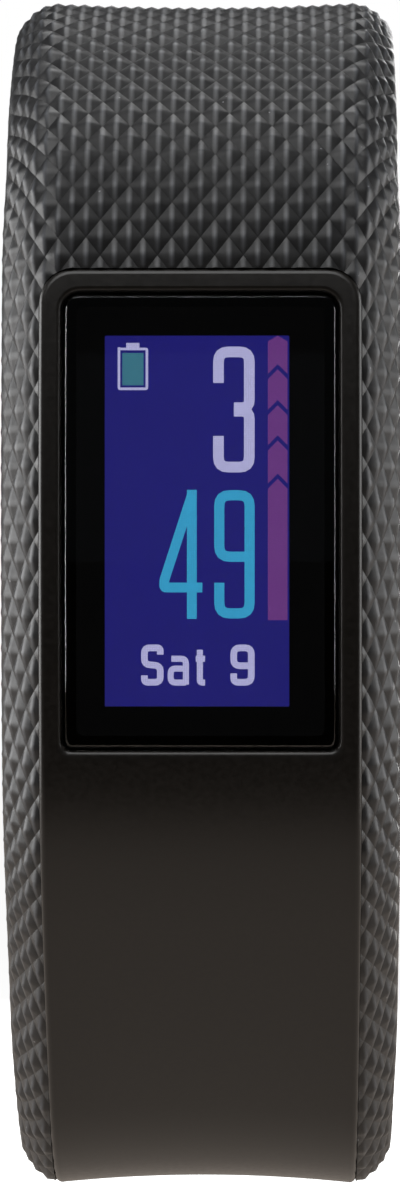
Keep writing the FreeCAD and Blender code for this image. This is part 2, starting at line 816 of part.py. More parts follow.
def buckle_tongue():
    bar = bar_station()
    barrel = cross_rod(1.35, (-TONGUE_HALF, TONGUE_HALF), bar.centre)
    over = FRAME_THICK / 2 - 0.35 + 0.1
    corners = [
        (0.0, -0.6), (1.6, -0.2), (5.6, over), (FRAME_REACH + 0.1, over),
        (FRAME_REACH + 0.4, over + 0.35), (FRAME_REACH, over + 0.9),
        (5.0, over + 1.0), (2.0, 1.35), (0.0, 1.35),
    ]
    tongue = barrel.fuse(bar.slab(corners, (-TONGUE_HALF, TONGUE_HALF)))
    hole = cross_rod(BAR_RADIUS + RUNNING, (-WIDE, WIDE), bar.centre)
    return tongue.cut(hole).removeSplitter()


def keeper():
    """Free loop that holds the tail down on the buckle arm."""
    inner = ARM_HALF + KEEPER_GAP
    outer = inner + KEEPER_WALL
    low = -TAIL_ROOM
    deep = ARM_THICK + KEEPER_GAP
    ring = [
        (outer, low - KEEPER_WALL + 0.7), (outer - 0.9, low - KEEPER_WALL),
        (-outer + 0.9, low - KEEPER_WALL), (-outer, low - KEEPER_WALL + 0.7),
        (-outer, deep + KEEPER_WALL - 0.7), (-outer + 0.9, deep + KEEPER_WALL),
        (outer - 0.9, deep + KEEPER_WALL), (outer, deep + KEEPER_WALL - 0.7),
    ]
    hole = [(inner, low), (-inner, low), (-inner, deep), (inner, deep)]
    s0, s1 = KEEPER_STATION - KEEPER_LENGTH / 2, KEEPER_STATION + KEEPER_LENGTH / 2
    return UPPER.sweep(s0, s1, ring).cut(UPPER.sweep(s0 - 1, s1 + 1, hole)).removeSplitter()


# ---- every node --------------------------------------------------------------------------------
def nodes():
    """Each separate piece by name."""
    return {
        "front_housing": front_housing(),
        "lens": lens(),
        "lens_adhesive": lens_adhesive(),
        "border_mask": border_mask(),
        "touch_sensor": plate(6.3, 11.0, (1.6, 1.9), 0.3),
        "display_panel": plate(5.9, 10.8, (1.95, 2.95), 0.2),
        "display_backlight": plate(5.9, 10.8, (3.0, 3.5), 0.2),
        "display_holder": display_holder(),
        "display_flex": display_flex(),
        "mid_frame": mid_frame(),
        "main_board": main_board(),
        "board_chips": board_chips(),
        "flex_connectors": flex_connectors(),
        "shield_can": plate(4.2, 4.3, (5.05, 6.25), 0.4, z=-0.6),
        "vibration_motor_can": vibration_motor_can(),
        "motor_rotor": motor_rotor(),
        "battery": battery(),
        "battery_lead": battery_lead(),
        "antenna": antenna(),
        "chassis_tub": chassis_tub(),
        "housing_adhesive": housing_adhesive(),
        "rear_cover": rear_cover(),
        "rear_cover_seal": seal_ring(0.0),
        "rear_cover_screws": cover_screws(),
        "sensor_window": sensor_window(),
        "sensor_board": sensor_board(),
        "sensor_leds": sensor_leds(),
        "sensor_photodiode": photodiode(),
        "sensor_baffle": light_baffle(),
        "charging_contacts": charging_contacts(),
        "vent_membrane": vent_membrane(),
        "strap_surround": strap_surround(),
        "strap_upper": upper_strap(),
        "strap_buckle_end": buckle_strap(),
        "strap_lower": tail_length(LOWER_FLEX[0], LOWER_FLEX[1]),
        "strap_tail": tail_length(LOWER_FLEX[1], LOWER_FLEX[2]),
        "strap_tail_tip": tail_tip(),
        "keeper_loop": keeper(),
        "buckle_frame": buckle_frame(),
        "buckle_tongue": buckle_tongue(),
        "spring_bar_tube": spring_bar_tube(),
        "spring_bar_pin_left": spring_bar_pin(-1),
        "spring_bar_pin_right": spring_bar_pin(1),
        "spring_bar_spring": spring_bar_spring(),
    }


def write_parts():
    """Export every node, moved so that the origin is the middle of the whole bounding box."""
    os.makedirs("parts", exist_ok=True)
    for old in os.listdir("parts"):
        os.remove(os.path.join("parts", old))
    found = nodes()
    whole = group(list(found.values())).optimalBoundingBox(False, False)
    middle = Vector(whole.Center)
    middle.x = 0.0
    print(f"origin {middle.y:.4f} {middle.z:.4f}, size {whole}")
    for name, shape in found.items():
        shape.translate(-middle)
        solids = shape.Solids
        good = shape.isValid() and solids and all(s.Volume > 0 for s in solids)
        print(f"{name}: {len(solids)} solids, {shape.Volume:.2f} mm3, {'ok' if good else 'BAD'}")
        shape.exportStep(os.path.join("parts", name + ".step"))
    return middle


MIDDLE = write_parts()
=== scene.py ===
# %% [markdown]
# # A fitness tracker band
#
# This lesson dresses a slim wrist tracker in Blender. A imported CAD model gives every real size: a
# rigid module with a display, a silicone band with a pin buckle, and all that is inside. The CAD
# model stays where it is. Here it gets its finishes, and the pieces whose look is in their surface
# are made anew: the diamond-moulded silicone, the front shell, the lens and the buckle.

# %% Load the frame
import math
import bpy
import bmesh
import numpy as np
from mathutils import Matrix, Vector


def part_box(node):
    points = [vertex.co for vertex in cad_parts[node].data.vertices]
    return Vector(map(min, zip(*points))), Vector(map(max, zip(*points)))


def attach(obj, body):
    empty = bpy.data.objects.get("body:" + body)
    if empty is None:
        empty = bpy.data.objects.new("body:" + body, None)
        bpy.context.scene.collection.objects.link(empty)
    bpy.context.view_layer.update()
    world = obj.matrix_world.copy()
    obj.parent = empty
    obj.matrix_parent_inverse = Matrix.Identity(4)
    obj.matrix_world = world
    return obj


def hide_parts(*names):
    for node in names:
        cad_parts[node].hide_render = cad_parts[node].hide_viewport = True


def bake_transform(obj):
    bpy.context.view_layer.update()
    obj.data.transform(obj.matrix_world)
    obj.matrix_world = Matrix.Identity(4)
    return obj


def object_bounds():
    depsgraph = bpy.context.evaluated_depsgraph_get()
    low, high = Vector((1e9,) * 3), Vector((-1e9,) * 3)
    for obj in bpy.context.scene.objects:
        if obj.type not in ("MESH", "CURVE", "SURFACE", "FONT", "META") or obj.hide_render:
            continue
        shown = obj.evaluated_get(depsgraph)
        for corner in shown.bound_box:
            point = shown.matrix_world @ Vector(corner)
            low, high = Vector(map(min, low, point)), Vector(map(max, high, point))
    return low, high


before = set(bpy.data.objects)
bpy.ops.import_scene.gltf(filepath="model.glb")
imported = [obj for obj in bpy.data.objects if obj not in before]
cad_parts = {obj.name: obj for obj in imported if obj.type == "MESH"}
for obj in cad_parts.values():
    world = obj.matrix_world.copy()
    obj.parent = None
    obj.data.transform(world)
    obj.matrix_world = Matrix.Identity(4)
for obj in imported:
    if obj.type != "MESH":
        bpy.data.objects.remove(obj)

cad_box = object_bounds()
MM = 0.001

# %% [markdown]
# ## The band's line
#
# Seen from the side, the band's outside is one smooth line of arcs. It starts in the middle of the
# lens and runs both ways: up over the shoulder to the buckle, and down the chin to the tail. Any
# place on the band is then three numbers: its station, the length along that line in millimetres,
# which is negative towards the tail; its depth below the outside; and x, the place across. Working
# in stations keeps the moulded pattern the same size wherever the band bends.

# %% Stations along the band
# Radius in millimetres and degrees of each arc, or None and the length of a straight.
SHOULDER_ARCS = [(90.0, 8.6), (15.5, 41.4), (36.0, 10.0), (20.0, 30.0), (None, 5.8), (40.0, 60.0)]
CHIN_ARCS = [
    (90.0, 8.0), (21.0, 26.0), (70.0, 11.0), (18.0, 18.0), (13.0, 27.0),
    (None, 4.0), (45.0, 20.0), (32.09, 110.0),
]
FACE_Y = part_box("front_housing")[0][1] / MM
FACE_Z = (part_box("lens")[0][2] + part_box("lens")[1][2]) / 2 / MM


def line_runs(arcs):
    """Start, length, place, heading and radius of each arc or straight."""
    runs, y, z, heading, start = [], 0.0, 0.0, 0.0, 0.0
    for radius, amount in arcs:
        turn = 0.0 if radius is None else math.radians(amount)
        length = amount if radius is None else radius * turn
        runs.append((start, length, y, z, heading, radius))
        if radius is None:
            y, z = y + length * math.sin(heading), z + length * math.cos(heading)
        else:
            y += radius * (math.cos(heading) - math.cos(heading + turn))
            z += radius * (math.sin(heading + turn) - math.sin(heading))
        heading, start = heading + turn, start + length
    return runs


LINES = {1: line_runs(SHOULDER_ARCS), -1: line_runs(CHIN_ARCS)}


def outline(stations):
    """y, z and heading of the outer line at each station, in millimetres from the lens's middle."""
    s = np.asarray(stations, float)
    y, z, heading = np.zeros_like(s), np.zeros_like(s), np.zeros_like(s)
    for side, runs in LINES.items():
        for number, (start, length, y0, z0, h0, radius) in enumerate(runs):
            last = number == len(runs) - 1
            reach = s * side
            here = (reach >= start) & ((reach < start + length) | last)
            here &= (s >= 0) if side > 0 else (s < 0)
            run = reach[here] - start
            turn = np.full_like(run, h0) if radius is None else h0 + run / radius
            if radius is None:
                dy, dz = run * math.sin(h0), run * math.cos(h0)
            else:
                dy = radius * (math.cos(h0) - np.cos(turn))
                dz = radius * (np.sin(turn) - math.sin(h0))
            y[here], z[here], heading[here] = y0 + dy, side * (z0 + dz), turn
    return y, z, heading


def inward(stations):
    """Unit y and z of the way straight into the band, at each station."""
    heading = outline(stations)[2]
    return np.cos(heading), -np.where(np.asarray(stations) < 0, -1.0, 1.0) * np.sin(heading)


def place(stations, depth, x):
    """Points of the row frame, in metres, for stations, depths and places across in millimetres."""
    s, depth, x = np.broadcast_arrays(np.asarray(stations, float), depth, x)
    y, z, _ = outline(s)
    in_y, in_z = inward(s)
    points = np.stack([x, y + depth * in_y + FACE_Y, z + depth * in_z + FACE_Z], axis=-1)
    return points * MM


BAR_STATION = 72.0          # middle of the spring bar
TAIL_TIP = -121.0           # end of the tail
TIP_ROUND = 5.0             # length of the tail's rounded end
for label, station in (("buckle end at", BAR_STATION), ("tail tip at", TAIL_TIP)):
    print(label, np.round(place(station, 0, 0), 4))

# %% [markdown]
# ## Helpers for meshes
#
# Most pieces here are grids: rows of points that are joined into a skin. One helper makes a mesh
# object from points and faces, and another closes a stack of rings into a solid. A small class
# writes Geometry Nodes, so that each tree below reads as a list of steps.

# %% Mesh helpers
def smooth_step(value, low, high):
    t = np.clip((np.asarray(value, float) - low) / (high - low), 0, 1)
    return t * t * (3 - 2 * t)


def ramp(value, low, high, first, last):
    """Runs in a straight line from first to last while value runs from low to high."""
    return first + (last - first) * np.clip((np.asarray(value, float) - low) / (high - low), 0, 1)


def mesh_piece(name, points, faces, material=None, smooth=True):
    mesh = bpy.data.meshes.new(name)
    mesh.from_pydata(np.asarray(points).reshape(-1, 3).tolist(), [], [list(f) for f in faces])
    mesh.polygons.foreach_set("use_smooth", np.full(len(mesh.polygons), smooth))
    piece = bpy.data.objects.new(name, mesh)
    bpy.context.scene.collection.objects.link(piece)
    if material:
        mesh.materials.append(material)
    return piece


def outward_faces(piece):
    """Turn every face of a closed piece to face out."""
    bm = bmesh.new()
    bm.from_mesh(piece.data)
    bmesh.ops.remove_doubles(bm, verts=bm.verts, dist=1e-7)
    bmesh.ops.recalc_face_normals(bm, faces=bm.faces)
    bm.to_mesh(piece.data)
    bm.free()


def sharp_edges(piece, degrees, valley=180):
    """Keep edges crisp where the surface turns by more than this; valleys may have their own limit."""
    bm = bmesh.new()
    bm.from_mesh(piece.data)
    for edge in bm.edges:
        if len(edge.link_faces) == 2:
            limit = degrees if edge.is_convex else min(degrees, valley)
            edge.smooth = edge.calc_face_angle(0.0) < math.radians(limit)
    bm.to_mesh(piece.data)
    bm.free()


def joined(a, b, size):
    """Faces between two rings of this many points, which start at a and at b."""
    return [(a + k, a + (k + 1) % size, b + (k + 1) % size, b + k) for k in range(size)]


def ring_solid(name, rings, material, loop=False, sharp=40):
    """A closed solid from rings of equal length. A loop joins the last ring to the first."""
    rings = np.asarray(rings)
    count, size = rings.shape[0], rings.shape[1]
    faces = []
    for i in range(count if loop else count - 1):
        faces += joined(i * size, (i + 1) % count * size, size)
    if not loop:
        faces.append(tuple(range(size)))
        faces.append(tuple(range((count - 1) * size, count * size)))
    piece = mesh_piece(name, rings, faces, material)
    outward_faces(piece)
    sharp_edges(piece, sharp)
    return piece


def applied(piece):
    """Turn the piece's modifiers into plain mesh."""
    bpy.context.view_layer.update()
    graph = bpy.context.evaluated_depsgraph_get()
    mesh = bpy.data.meshes.new_from_object(piece.evaluated_get(graph), depsgraph=graph)
    piece.modifiers.clear()
    piece.data = mesh
    mesh.name = piece.name
    return piece


def cut(piece, other, operation="DIFFERENCE"):
    """Cut one closed mesh out of another, or join it on."""
    modifier = piece.modifiers.new("cut", "BOOLEAN")
    modifier.operation, modifier.solver, modifier.object = operation, "EXACT", other
    applied(piece)
    bpy.data.objects.remove(other)
    return piece


def shown(piece, slot, node=None, body=None):
    """Attach a new piece to the body that carries it, and hide the node it stands for. The slot is not used."""
    if body:
        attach(piece, body)
    if node:
        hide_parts(node)
    print(piece.name, "faces", len(piece.data.polygons))


class Steps:
    """Writes one Geometry Nodes tree, with named inputs that have real sizes as defaults."""

    def __init__(self, name, **inputs):
        self.tree = bpy.data.node_groups.new(name, "GeometryNodeTree")
        face = self.tree.interface
        face.new_socket("Geometry", in_out="INPUT", socket_type="NodeSocketGeometry")
        for label, value in inputs.items():
            kind = "NodeSocketInt" if isinstance(value, int) else "NodeSocketFloat"
            if isinstance(value, bpy.types.Material):
                kind = "NodeSocketMaterial"
            socket = face.new_socket(label, in_out="INPUT", socket_type=kind)
            socket.default_value = value
        face.new_socket("Geometry", in_out="OUTPUT", socket_type="NodeSocketGeometry")
        self.start = self.tree.nodes.new("NodeGroupInput").outputs
        self.end = self.tree.nodes.new("NodeGroupOutput").inputs

    def node(self, kind, settings=None, **values):
        made = self.tree.nodes.new(kind)
        for key, value in (settings or {}).items():
            setattr(made, key, value)
        for key, value in values.items():
            self.feed(made.inputs[key.replace("_", " ")], value)
        return made

    def feed(self, socket, value):
        if isinstance(value, bpy.types.NodeSocket):
            self.tree.links.new(value, socket)
        else:
            socket.default_value = value

    def math(self, operation, *values):
        made = self.tree.nodes.new("ShaderNodeMath")
        made.operation = operation
        for socket, value in zip(made.inputs, values):
            self.feed(socket, value)
        return made.outputs[0]

    def attribute(self, name, kind="FLOAT"):
        made = self.node("GeometryNodeInputNamedAttribute", {"data_type": kind})
        made.inputs["Name"].default_value = name
        return made.outputs["Attribute"]

    def finish(self, geometry):
        real = self.node("GeometryNodeRealizeInstances", Geometry=geometry).outputs[0]
        dressed = self.node("GeometryNodeSetMaterial", Geometry=real, Material=self.start["Finish"])
        self.feed(self.end[0], dressed.outputs[0])
        return self.tree


def run_steps(piece, tree, **values):
    """Run a tree on a piece, with its inputs set by their identifiers, and keep the result."""
    modifier = piece.modifiers.new(tree.name, "NODES")
    modifier.node_group = tree
    named = {s.name: s.identifier for s in tree.interface.items_tree if s.in_out == "INPUT"}
    for label, value in values.items():
        modifier[named[label]] = value
    return applied(piece)


print("helpers ready")

# %% [markdown]
# ## Finishes
#
# Every finish is a small node material. Moulded silicone is a dark rubber with a faint dust and a
# soft highlight; the front shell is a satin black-brown plastic; the buckle is dark brushed steel.
# Noise at the scale of the real surface keeps each from looking like flat paint.

# %% Material helpers
def with_inputs(node, **values):
    """Set a node's inputs by name, with _ for a space."""
    for label, value in values.items():
        node.inputs[label.replace("_", " ")].default_value = value
    return node


def opened(material):
    """The material's nodes, links and shader."""
    tree = material.node_tree
    return tree.nodes, tree.links, tree.nodes["Principled BSDF"]


def finish(name, colour, rough, metal=0.0, **sockets):
    """A material with its shader ready. Numbers that are the same all over go on its sockets."""
    material = bpy.data.materials.new(name)
    material.use_nodes = True
    shader = opened(material)[2]
    with_inputs(shader, Base_Color=(*colour, 1.0), Roughness=rough, Metallic=metal, **sockets)
    return material


def grain(material, size, colours, rough=None, bump=0.0, stretch=(1, 1, 1), detail=4.0):
    """Vary colour, and roughness and height if asked, by noise of this size in metres."""
    nodes, links, shader = opened(material)
    mapping = with_inputs(nodes.new("ShaderNodeMapping"), Scale=stretch)
    noise = with_inputs(nodes.new("ShaderNodeTexNoise"), Scale=1.0 / size, Detail=detail)
    blend = nodes.new("ShaderNodeValToRGB")
    for stop, position, colour in zip(blend.color_ramp.elements, (0.35, 0.65), colours):
        stop.position, stop.color = position, (*colour, 1)
    links.new(nodes.new("ShaderNodeTexCoord").outputs["Object"], mapping.inputs["Vector"])
    links.new(mapping.outputs["Vector"], noise.inputs["Vector"])
    links.new(noise.outputs["Fac"], blend.inputs["Fac"])
    links.new(blend.outputs["Color"], shader.inputs["Base Color"])
    if rough:
        spread = nodes.new("ShaderNodeMapRange")
        with_inputs(spread, From_Min=0.3, From_Max=0.7, To_Min=rough[0], To_Max=rough[1])
        links.new(noise.outputs["Fac"], spread.inputs["Value"])
        links.new(spread.outputs["Result"], shader.inputs["Roughness"])
    if bump:
        height = with_inputs(nodes.new("ShaderNodeBump"), Distance=bump, Strength=0.6)
        links.new(noise.outputs["Fac"], height.inputs["Height"])
        links.new(height.outputs["Normal"], shader.inputs["Normal"])
    return material


def lay_over(material, amount, colour):
    """Mix a second colour over the material's own, as much as another node's output says."""
    nodes, links, shader = opened(material)
    mix = nodes.new("ShaderNodeMix")
    mix.data_type = "RGBA"
    links.new(amount, mix.inputs["Factor"])
    links.new(shader.inputs["Base Color"].links[0].from_socket, mix.inputs[6])
    mix.inputs[7].default_value = (*colour, 1)
    links.new(mix.outputs[2], shader.inputs["Base Color"])


def painted_ridge_highlight(material, colour):
    """Lighten the ridges of the pattern: a painted highlight where light would catch their rounded crests."""
    wear = opened(material)[0].new("ShaderNodeAttribute")
    wear.attribute_name = "wear"
    lay_over(material, wear.outputs["Fac"], colour)


def lint(material, spacing, size, colour):
    """Tiny pale specks, spread at random at about this spacing."""
    nodes, links, _ = opened(material)
    cells = with_inputs(nodes.new("ShaderNodeTexVoronoi"), Scale=1.0 / spacing)
    near = nodes.new("ShaderNodeMath")
    near.operation = "LESS_THAN"
    near.inputs[1].default_value = size / spacing
    links.new(nodes.new("ShaderNodeTexCoord").outputs["Object"], cells.inputs["Vector"])
    links.new(cells.outputs["Distance"], near.inputs[0])
    lay_over(material, near.outputs[0], colour)


def lit(name, colour, dot=0.00012):
    """Light from a display: an even glow, broken faintly by its square picture points."""
    material = finish(name, (0, 0, 0), 0.4, Emission_Strength=1.0)
    nodes, links, shader = opened(material)
    turned = with_inputs(nodes.new("ShaderNodeMapping"), Rotation=(math.pi / 2, 0, 0))
    brick = nodes.new("ShaderNodeTexBrick")
    brick.offset = 0.0
    with_inputs(brick, Scale=1.0, Brick_Width=dot, Row_Height=dot, Mortar_Size=dot * 0.06)
    for label, share in (("Color1", 1.0), ("Color2", 0.93), ("Mortar", 0.72)):
        brick.inputs[label].default_value = (*[c * share for c in colour], 1)
    links.new(nodes.new("ShaderNodeTexCoord").outputs["Object"], turned.inputs["Vector"])
    links.new(turned.outputs["Vector"], brick.inputs["Vector"])
    links.new(brick.outputs["Color"], shader.inputs["Emission Color"])
    return material


print("material helpers ready")

# %% [markdown]
# These finishes are seen from outside. Each has a base, and a darker and a lighter colour that noise
# blends; its roughness varies with the same noise.

# %% Finishes that show
SILICONE = grain(
    finish("band_silicone", (0.02, 0.02, 0.021), 0.5, Specular_IOR_Level=0.5),
    0.0009, ((0.0145, 0.0145, 0.0152), (0.020, 0.020, 0.0208)), rough=(0.36, 0.50), bump=0.00001,
)
# Painted highlight: a pale bluish colour laid along the pattern's ridges.
painted_ridge_highlight(SILICONE, (0.10, 0.105, 0.115))
lint(SILICONE, 0.0017, 0.00006, (0.20, 0.20, 0.21))
HOUSING = grain(
    finish("housing_satin", (0.012, 0.01, 0.009), 0.38),
    0.0003, ((0.0085, 0.0072, 0.006), (0.0115, 0.0098, 0.0085)), rough=(0.30, 0.36), bump=0.000002,
)
LENS = grain(
    finish("cover_lens", (0.94, 0.94, 0.95), 0.01, Transmission_Weight=1.0, IOR=1.49),
    0.004, ((0.93, 0.935, 0.94), (0.96, 0.965, 0.97)), rough=(0.004, 0.02),
)
BUCKLE = grain(
    finish("buckle_steel", (0.2, 0.2, 0.21), 0.3, metal=1.0),
    0.00012, ((0.17, 0.17, 0.18), (0.25, 0.25, 0.26)), rough=(0.22, 0.36), stretch=(0.05, 1, 1),
)
BLACK = grain(
    finish("black_print", (0.002, 0.002, 0.002), 0.6, Specular_IOR_Level=0.0),
    0.0004, ((0.0014, 0.0013, 0.0014), (0.0022, 0.002, 0.0022)),
)
STEEL = grain(
    finish("bright_steel", (0.6, 0.6, 0.61), 0.25, metal=1.0),
    0.00015, ((0.52, 0.52, 0.53), (0.66, 0.66, 0.67)), rough=(0.18, 0.32),
)
COVER = grain(
    finish("cover_plastic", (0.03, 0.03, 0.032), 0.5),
    0.00018, ((0.024, 0.024, 0.026), (0.036, 0.036, 0.038)), rough=(0.42, 0.58), bump=0.00001,
)
WINDOW = grain(
    finish("sensor_window", (0.5, 0.51, 0.55), 0.03, Transmission_Weight=1.0, IOR=1.5),
    0.002, ((0.46, 0.47, 0.51), (0.54, 0.55, 0.59)), rough=(0.02, 0.05),
)
GOLD = grain(
    finish("gold_contact", (0.9, 0.66, 0.3), 0.2, metal=1.0),
    0.0002, ((0.83, 0.6, 0.26), (0.93, 0.7, 0.34)), rough=(0.14, 0.26),
)
print("finishes", len(bpy.data.materials))

# %% [markdown]
# ## Camera, light and floor
#
# The band is held above a pale floor, with room for its tail to open out. The camera looks at the
# display square on, from close by, so that the far parts of the band look narrower. It stands a touch
# to the right. Soft light comes from five panels: one above and ahead, one over the band, one at each
# side for the sloping rails, and one behind. The floor and the room are bright only to the camera. In
# reflections the room is dark and the floor gives a warm glow that fades towards the front.

# %% Camera, lights and floor
CAMERA_REACH = 250.0        # from the lens, in millimetres
CAMERA_BELOW = 3.7          # below the middle of the display
CAMERA_SIDE = 0.9           # degrees to the right
OPEN_TAIL_DROP = 46.0       # room under the band for the tail when it is opened out
VIEW_HEIGHT = 61.67         # millimetres of the lens's plane that the frame holds
SENSOR = 36.0
ROOM_LIGHT = 0.035          # strength of the room in reflections
FLOOR_SEEN = 0.92           # brightness of the floor to the camera
GLOW_FADE = (-0.166, -0.081)    # the glow rises between these places along Y, in metres
GLOW_STRENGTH = (0.01, 0.57)
PANELS = {                  # place and size in metres, and power in watts
    "key": ((-0.06, -0.36, 0.52), 0.50, 2.3),
    "top": ((0.02, 0.20, 0.58), 0.28, 1.05),
    "left": ((-0.52, 0.03, 0.02), 0.45, 3.9),
    "right": ((0.52, 0.03, 0.02), 0.45, 2.1),
    "back": ((0.10, 0.58, 0.12), 0.35, 2.4),
}


def seen_apart(tree, others, seen, end):
    """Show one shader to the camera, and another to every other ray."""
    mix, path = tree.nodes.new("ShaderNodeMixShader"), tree.nodes.new("ShaderNodeLightPath")
    tree.links.new(path.outputs["Is Camera Ray"], mix.inputs["Fac"])
    tree.links.new(others.outputs[0], mix.inputs[1])
    tree.links.new(seen.outputs[0], mix.inputs[2])
    tree.links.new(mix.outputs[0], end.inputs["Surface"])


def studio():
    camera = bpy.data.objects.new("camera", bpy.data.cameras.new("camera"))
    bpy.context.scene.collection.objects.link(camera)
    camera.data.sensor_width = SENSOR
    camera.data.lens = SENSOR * CAMERA_REACH / VIEW_HEIGHT
    camera.data.clip_start, camera.data.clip_end = 0.01, 20.0
    target = Vector((0, FACE_Y, FACE_Z - CAMERA_BELOW)) * MM
    turn = math.radians(CAMERA_SIDE)
    camera.location = target + Vector((math.sin(turn), -math.cos(turn), 0)) * CAMERA_REACH * MM
    camera.rotation_euler = (math.pi / 2, 0, turn)
    bpy.context.scene.camera = camera
    for name, (spot, size, power) in PANELS.items():
        light = bpy.data.lights.new(name, "AREA")
        light.size, light.energy = size, power
        lamp = bpy.data.objects.new(name, light)
        lamp.location = spot
        lamp.rotation_euler = (-Vector(spot)).to_track_quat("-Z", "Y").to_euler()
        bpy.context.scene.collection.objects.link(lamp)
    world = bpy.data.worlds.new("studio")
    world.use_nodes = True
    nodes = world.node_tree.nodes
    seen = with_inputs(nodes["Background"], Color=(1, 1, 1, 1))
    room = nodes.new("ShaderNodeBackground")
    with_inputs(room, Color=(0.9, 0.95, 1, 1), Strength=ROOM_LIGHT)
    seen_apart(world.node_tree, room, seen, nodes["World Output"])
    bpy.context.scene.world = world
    bpy.context.scene.view_settings.view_transform = "Standard"


def floor_piece():
    low = cad_box[0][2] - OPEN_TAIL_DROP * MM
    paper = finish("pale_floor", (0.2, 0.2, 0.2), 0.7)
    grain(paper, 0.02, ((0.19, 0.19, 0.19), (0.21, 0.21, 0.21)))
    nodes, links, dim = opened(paper)
    seen = with_inputs(nodes.new("ShaderNodeEmission"), Strength=FLOOR_SEEN)
    glow = with_inputs(nodes.new("ShaderNodeEmission"), Color=(1.0, 0.87, 0.76, 1))
    shade, parts = nodes.new("ShaderNodeAddShader"), nodes.new("ShaderNodeSeparateXYZ")
    reach = nodes.new("ShaderNodeMapRange")
    reach.interpolation_type = "SMOOTHSTEP"
    with_inputs(reach, From_Min=GLOW_FADE[0], From_Max=GLOW_FADE[1])
    with_inputs(reach, To_Min=GLOW_STRENGTH[0], To_Max=GLOW_STRENGTH[1])
    links.new(nodes.new("ShaderNodeTexCoord").outputs["Object"], parts.inputs[0])
    links.new(parts.outputs["Y"], reach.inputs["Value"])
    links.new(reach.outputs["Result"], glow.inputs["Strength"])
    links.new(seen.outputs[0], shade.inputs[0])
    links.new(dim.outputs[0], shade.inputs[1])
    seen_apart(paper.node_tree, glow, shade, nodes["Material Output"])
    corners = [(-2, -2, low), (2, -2, low), (2, 2, low), (-2, 2, low)]
    floor = mesh_piece("floor", corners, [(0, 1, 2, 3)], paper, smooth=False)


studio()
floor_piece()
print("camera at", [round(v, 4) for v in bpy.context.scene.camera.location])

# %% [markdown]
# ## The silicone skin
#
# The band is one moulding. Its section is flat outside, falls over a rail at each side, and comes
# back under the wrist. Around the module the rail is deep and steep; along the arms it shrinks to a
# soft shoulder. The moulding also dips a little across its middle where it bends, as silicone does.
#
# The moulded pattern is a sheet of small four-sided points. Its grid is laid out in real millimetres
# on the surface, so a Geometry Nodes tree only has to sink the valleys: a point's height follows a
# simple rule from how far it is across and along.

# %% Section of the band
BAND_HALF, FRONT_HALF, TAIL_HALF, ARM_HALF = 10.5, 8.45, 8.8, 9.0    # half widths
NARROWS = (21.5, 32.0)      # the band narrows between these distances behind the lens
RAIL_DEPTH, SHOULDER, WRIST_BEVEL = 3.6, 1.4, 0.6
RAIL_FADE = {1: (13.3, 41.5), -1: (30.0, 49.0)}    # stations where the rail turns into the shoulder
ROOT_THICK, ARM_THICK = 3.6, 2.6
SKIN_BACK, TUB_BACK = 9.0, 8.2    # backs of the silicone and of the tub, behind the lens
RIM_TOP, CHIN_END = 13.3, -47.3   # ends of the front shell
CELL_ACROSS, CELL_ALONG = 0.75, 1.0
KNURL_HEIGHT, KNURL_PROUD = 0.24, 0.10
BAR_NOSE = 1.55             # radius of the arm's end round the spring bar
DIP_ABOVE, DIP_BELOW = 0.30, 0.45


def side_point(station, depth):
    y, z, _ = outline([station])
    in_y, in_z = inward([station])
    return float(y[0] + depth * in_y[0]), float(z[0] + depth * in_z[0])


WRIST_FACE = [
    side_point(24.55, ROOT_THICK), (SKIN_BACK, 18.0), (SKIN_BACK, -14.9),
    side_point(-35.5, 5.7), side_point(-47.0, 3.9), side_point(-49.85, ROOT_THICK),
]
TUB_FACE = [
    side_point(12.9, 0.5), (TUB_BACK, 13.0), (TUB_BACK, -14.6),
    side_point(-35.5, 4.8), side_point(-46.9, 2.9),
]


def depth_to(face, stations):
    """How deep a side-view polyline lies under each station."""
    y, z, _ = outline(stations)
    in_y, in_z = inward(stations)
    found = np.full(y.shape, np.inf)
    for (y0, z0), (y1, z1) in zip(face, face[1:]):
        ey, ez = y1 - y0, z1 - z0
        cross = in_y * ez - in_z * ey
        cross = np.where(abs(cross) < 1e-9, 1e-9, cross)
        depth = ((y0 - y) * ez - (z0 - z) * ey) / cross
        along = ((y0 - y) * in_z - (z0 - z) * in_y) / cross
        hit = (along > -1e-6) & (along < 1 + 1e-6) & (depth > 0)
        found = np.where(hit & (depth < found), depth, found)
    return found


def wrist_depth(s):
    """Depth of the wrist face: flat runs behind the module, an even thickness along the arms."""
    if -49.8 < s < 24.5:
        return float(depth_to(WRIST_FACE, [s])[0])
    fade = (24.7, 50.0) if s > 0 else (50.0, 78.0)
    return float(ramp(abs(s), *fade, ROOT_THICK, ARM_THICK))


def dish(stations, x):
    """How far the outside dips at this place, where the band bends."""
    s = np.asarray(stations, float)
    upper = DIP_ABOVE * smooth_step(s, 22, 40) * (1 - smooth_step(s, 52, 60))
    lower = DIP_BELOW * smooth_step(-s, 22, 45) * (1 - smooth_step(-s, 62, 74))
    out = np.clip(np.abs(x) / BAND_HALF, 0, 1) ** 2
    return upper * (0.5 - 1.25 * out) - lower * (0.78 + 1.55 * np.minimum(out, 0.6))


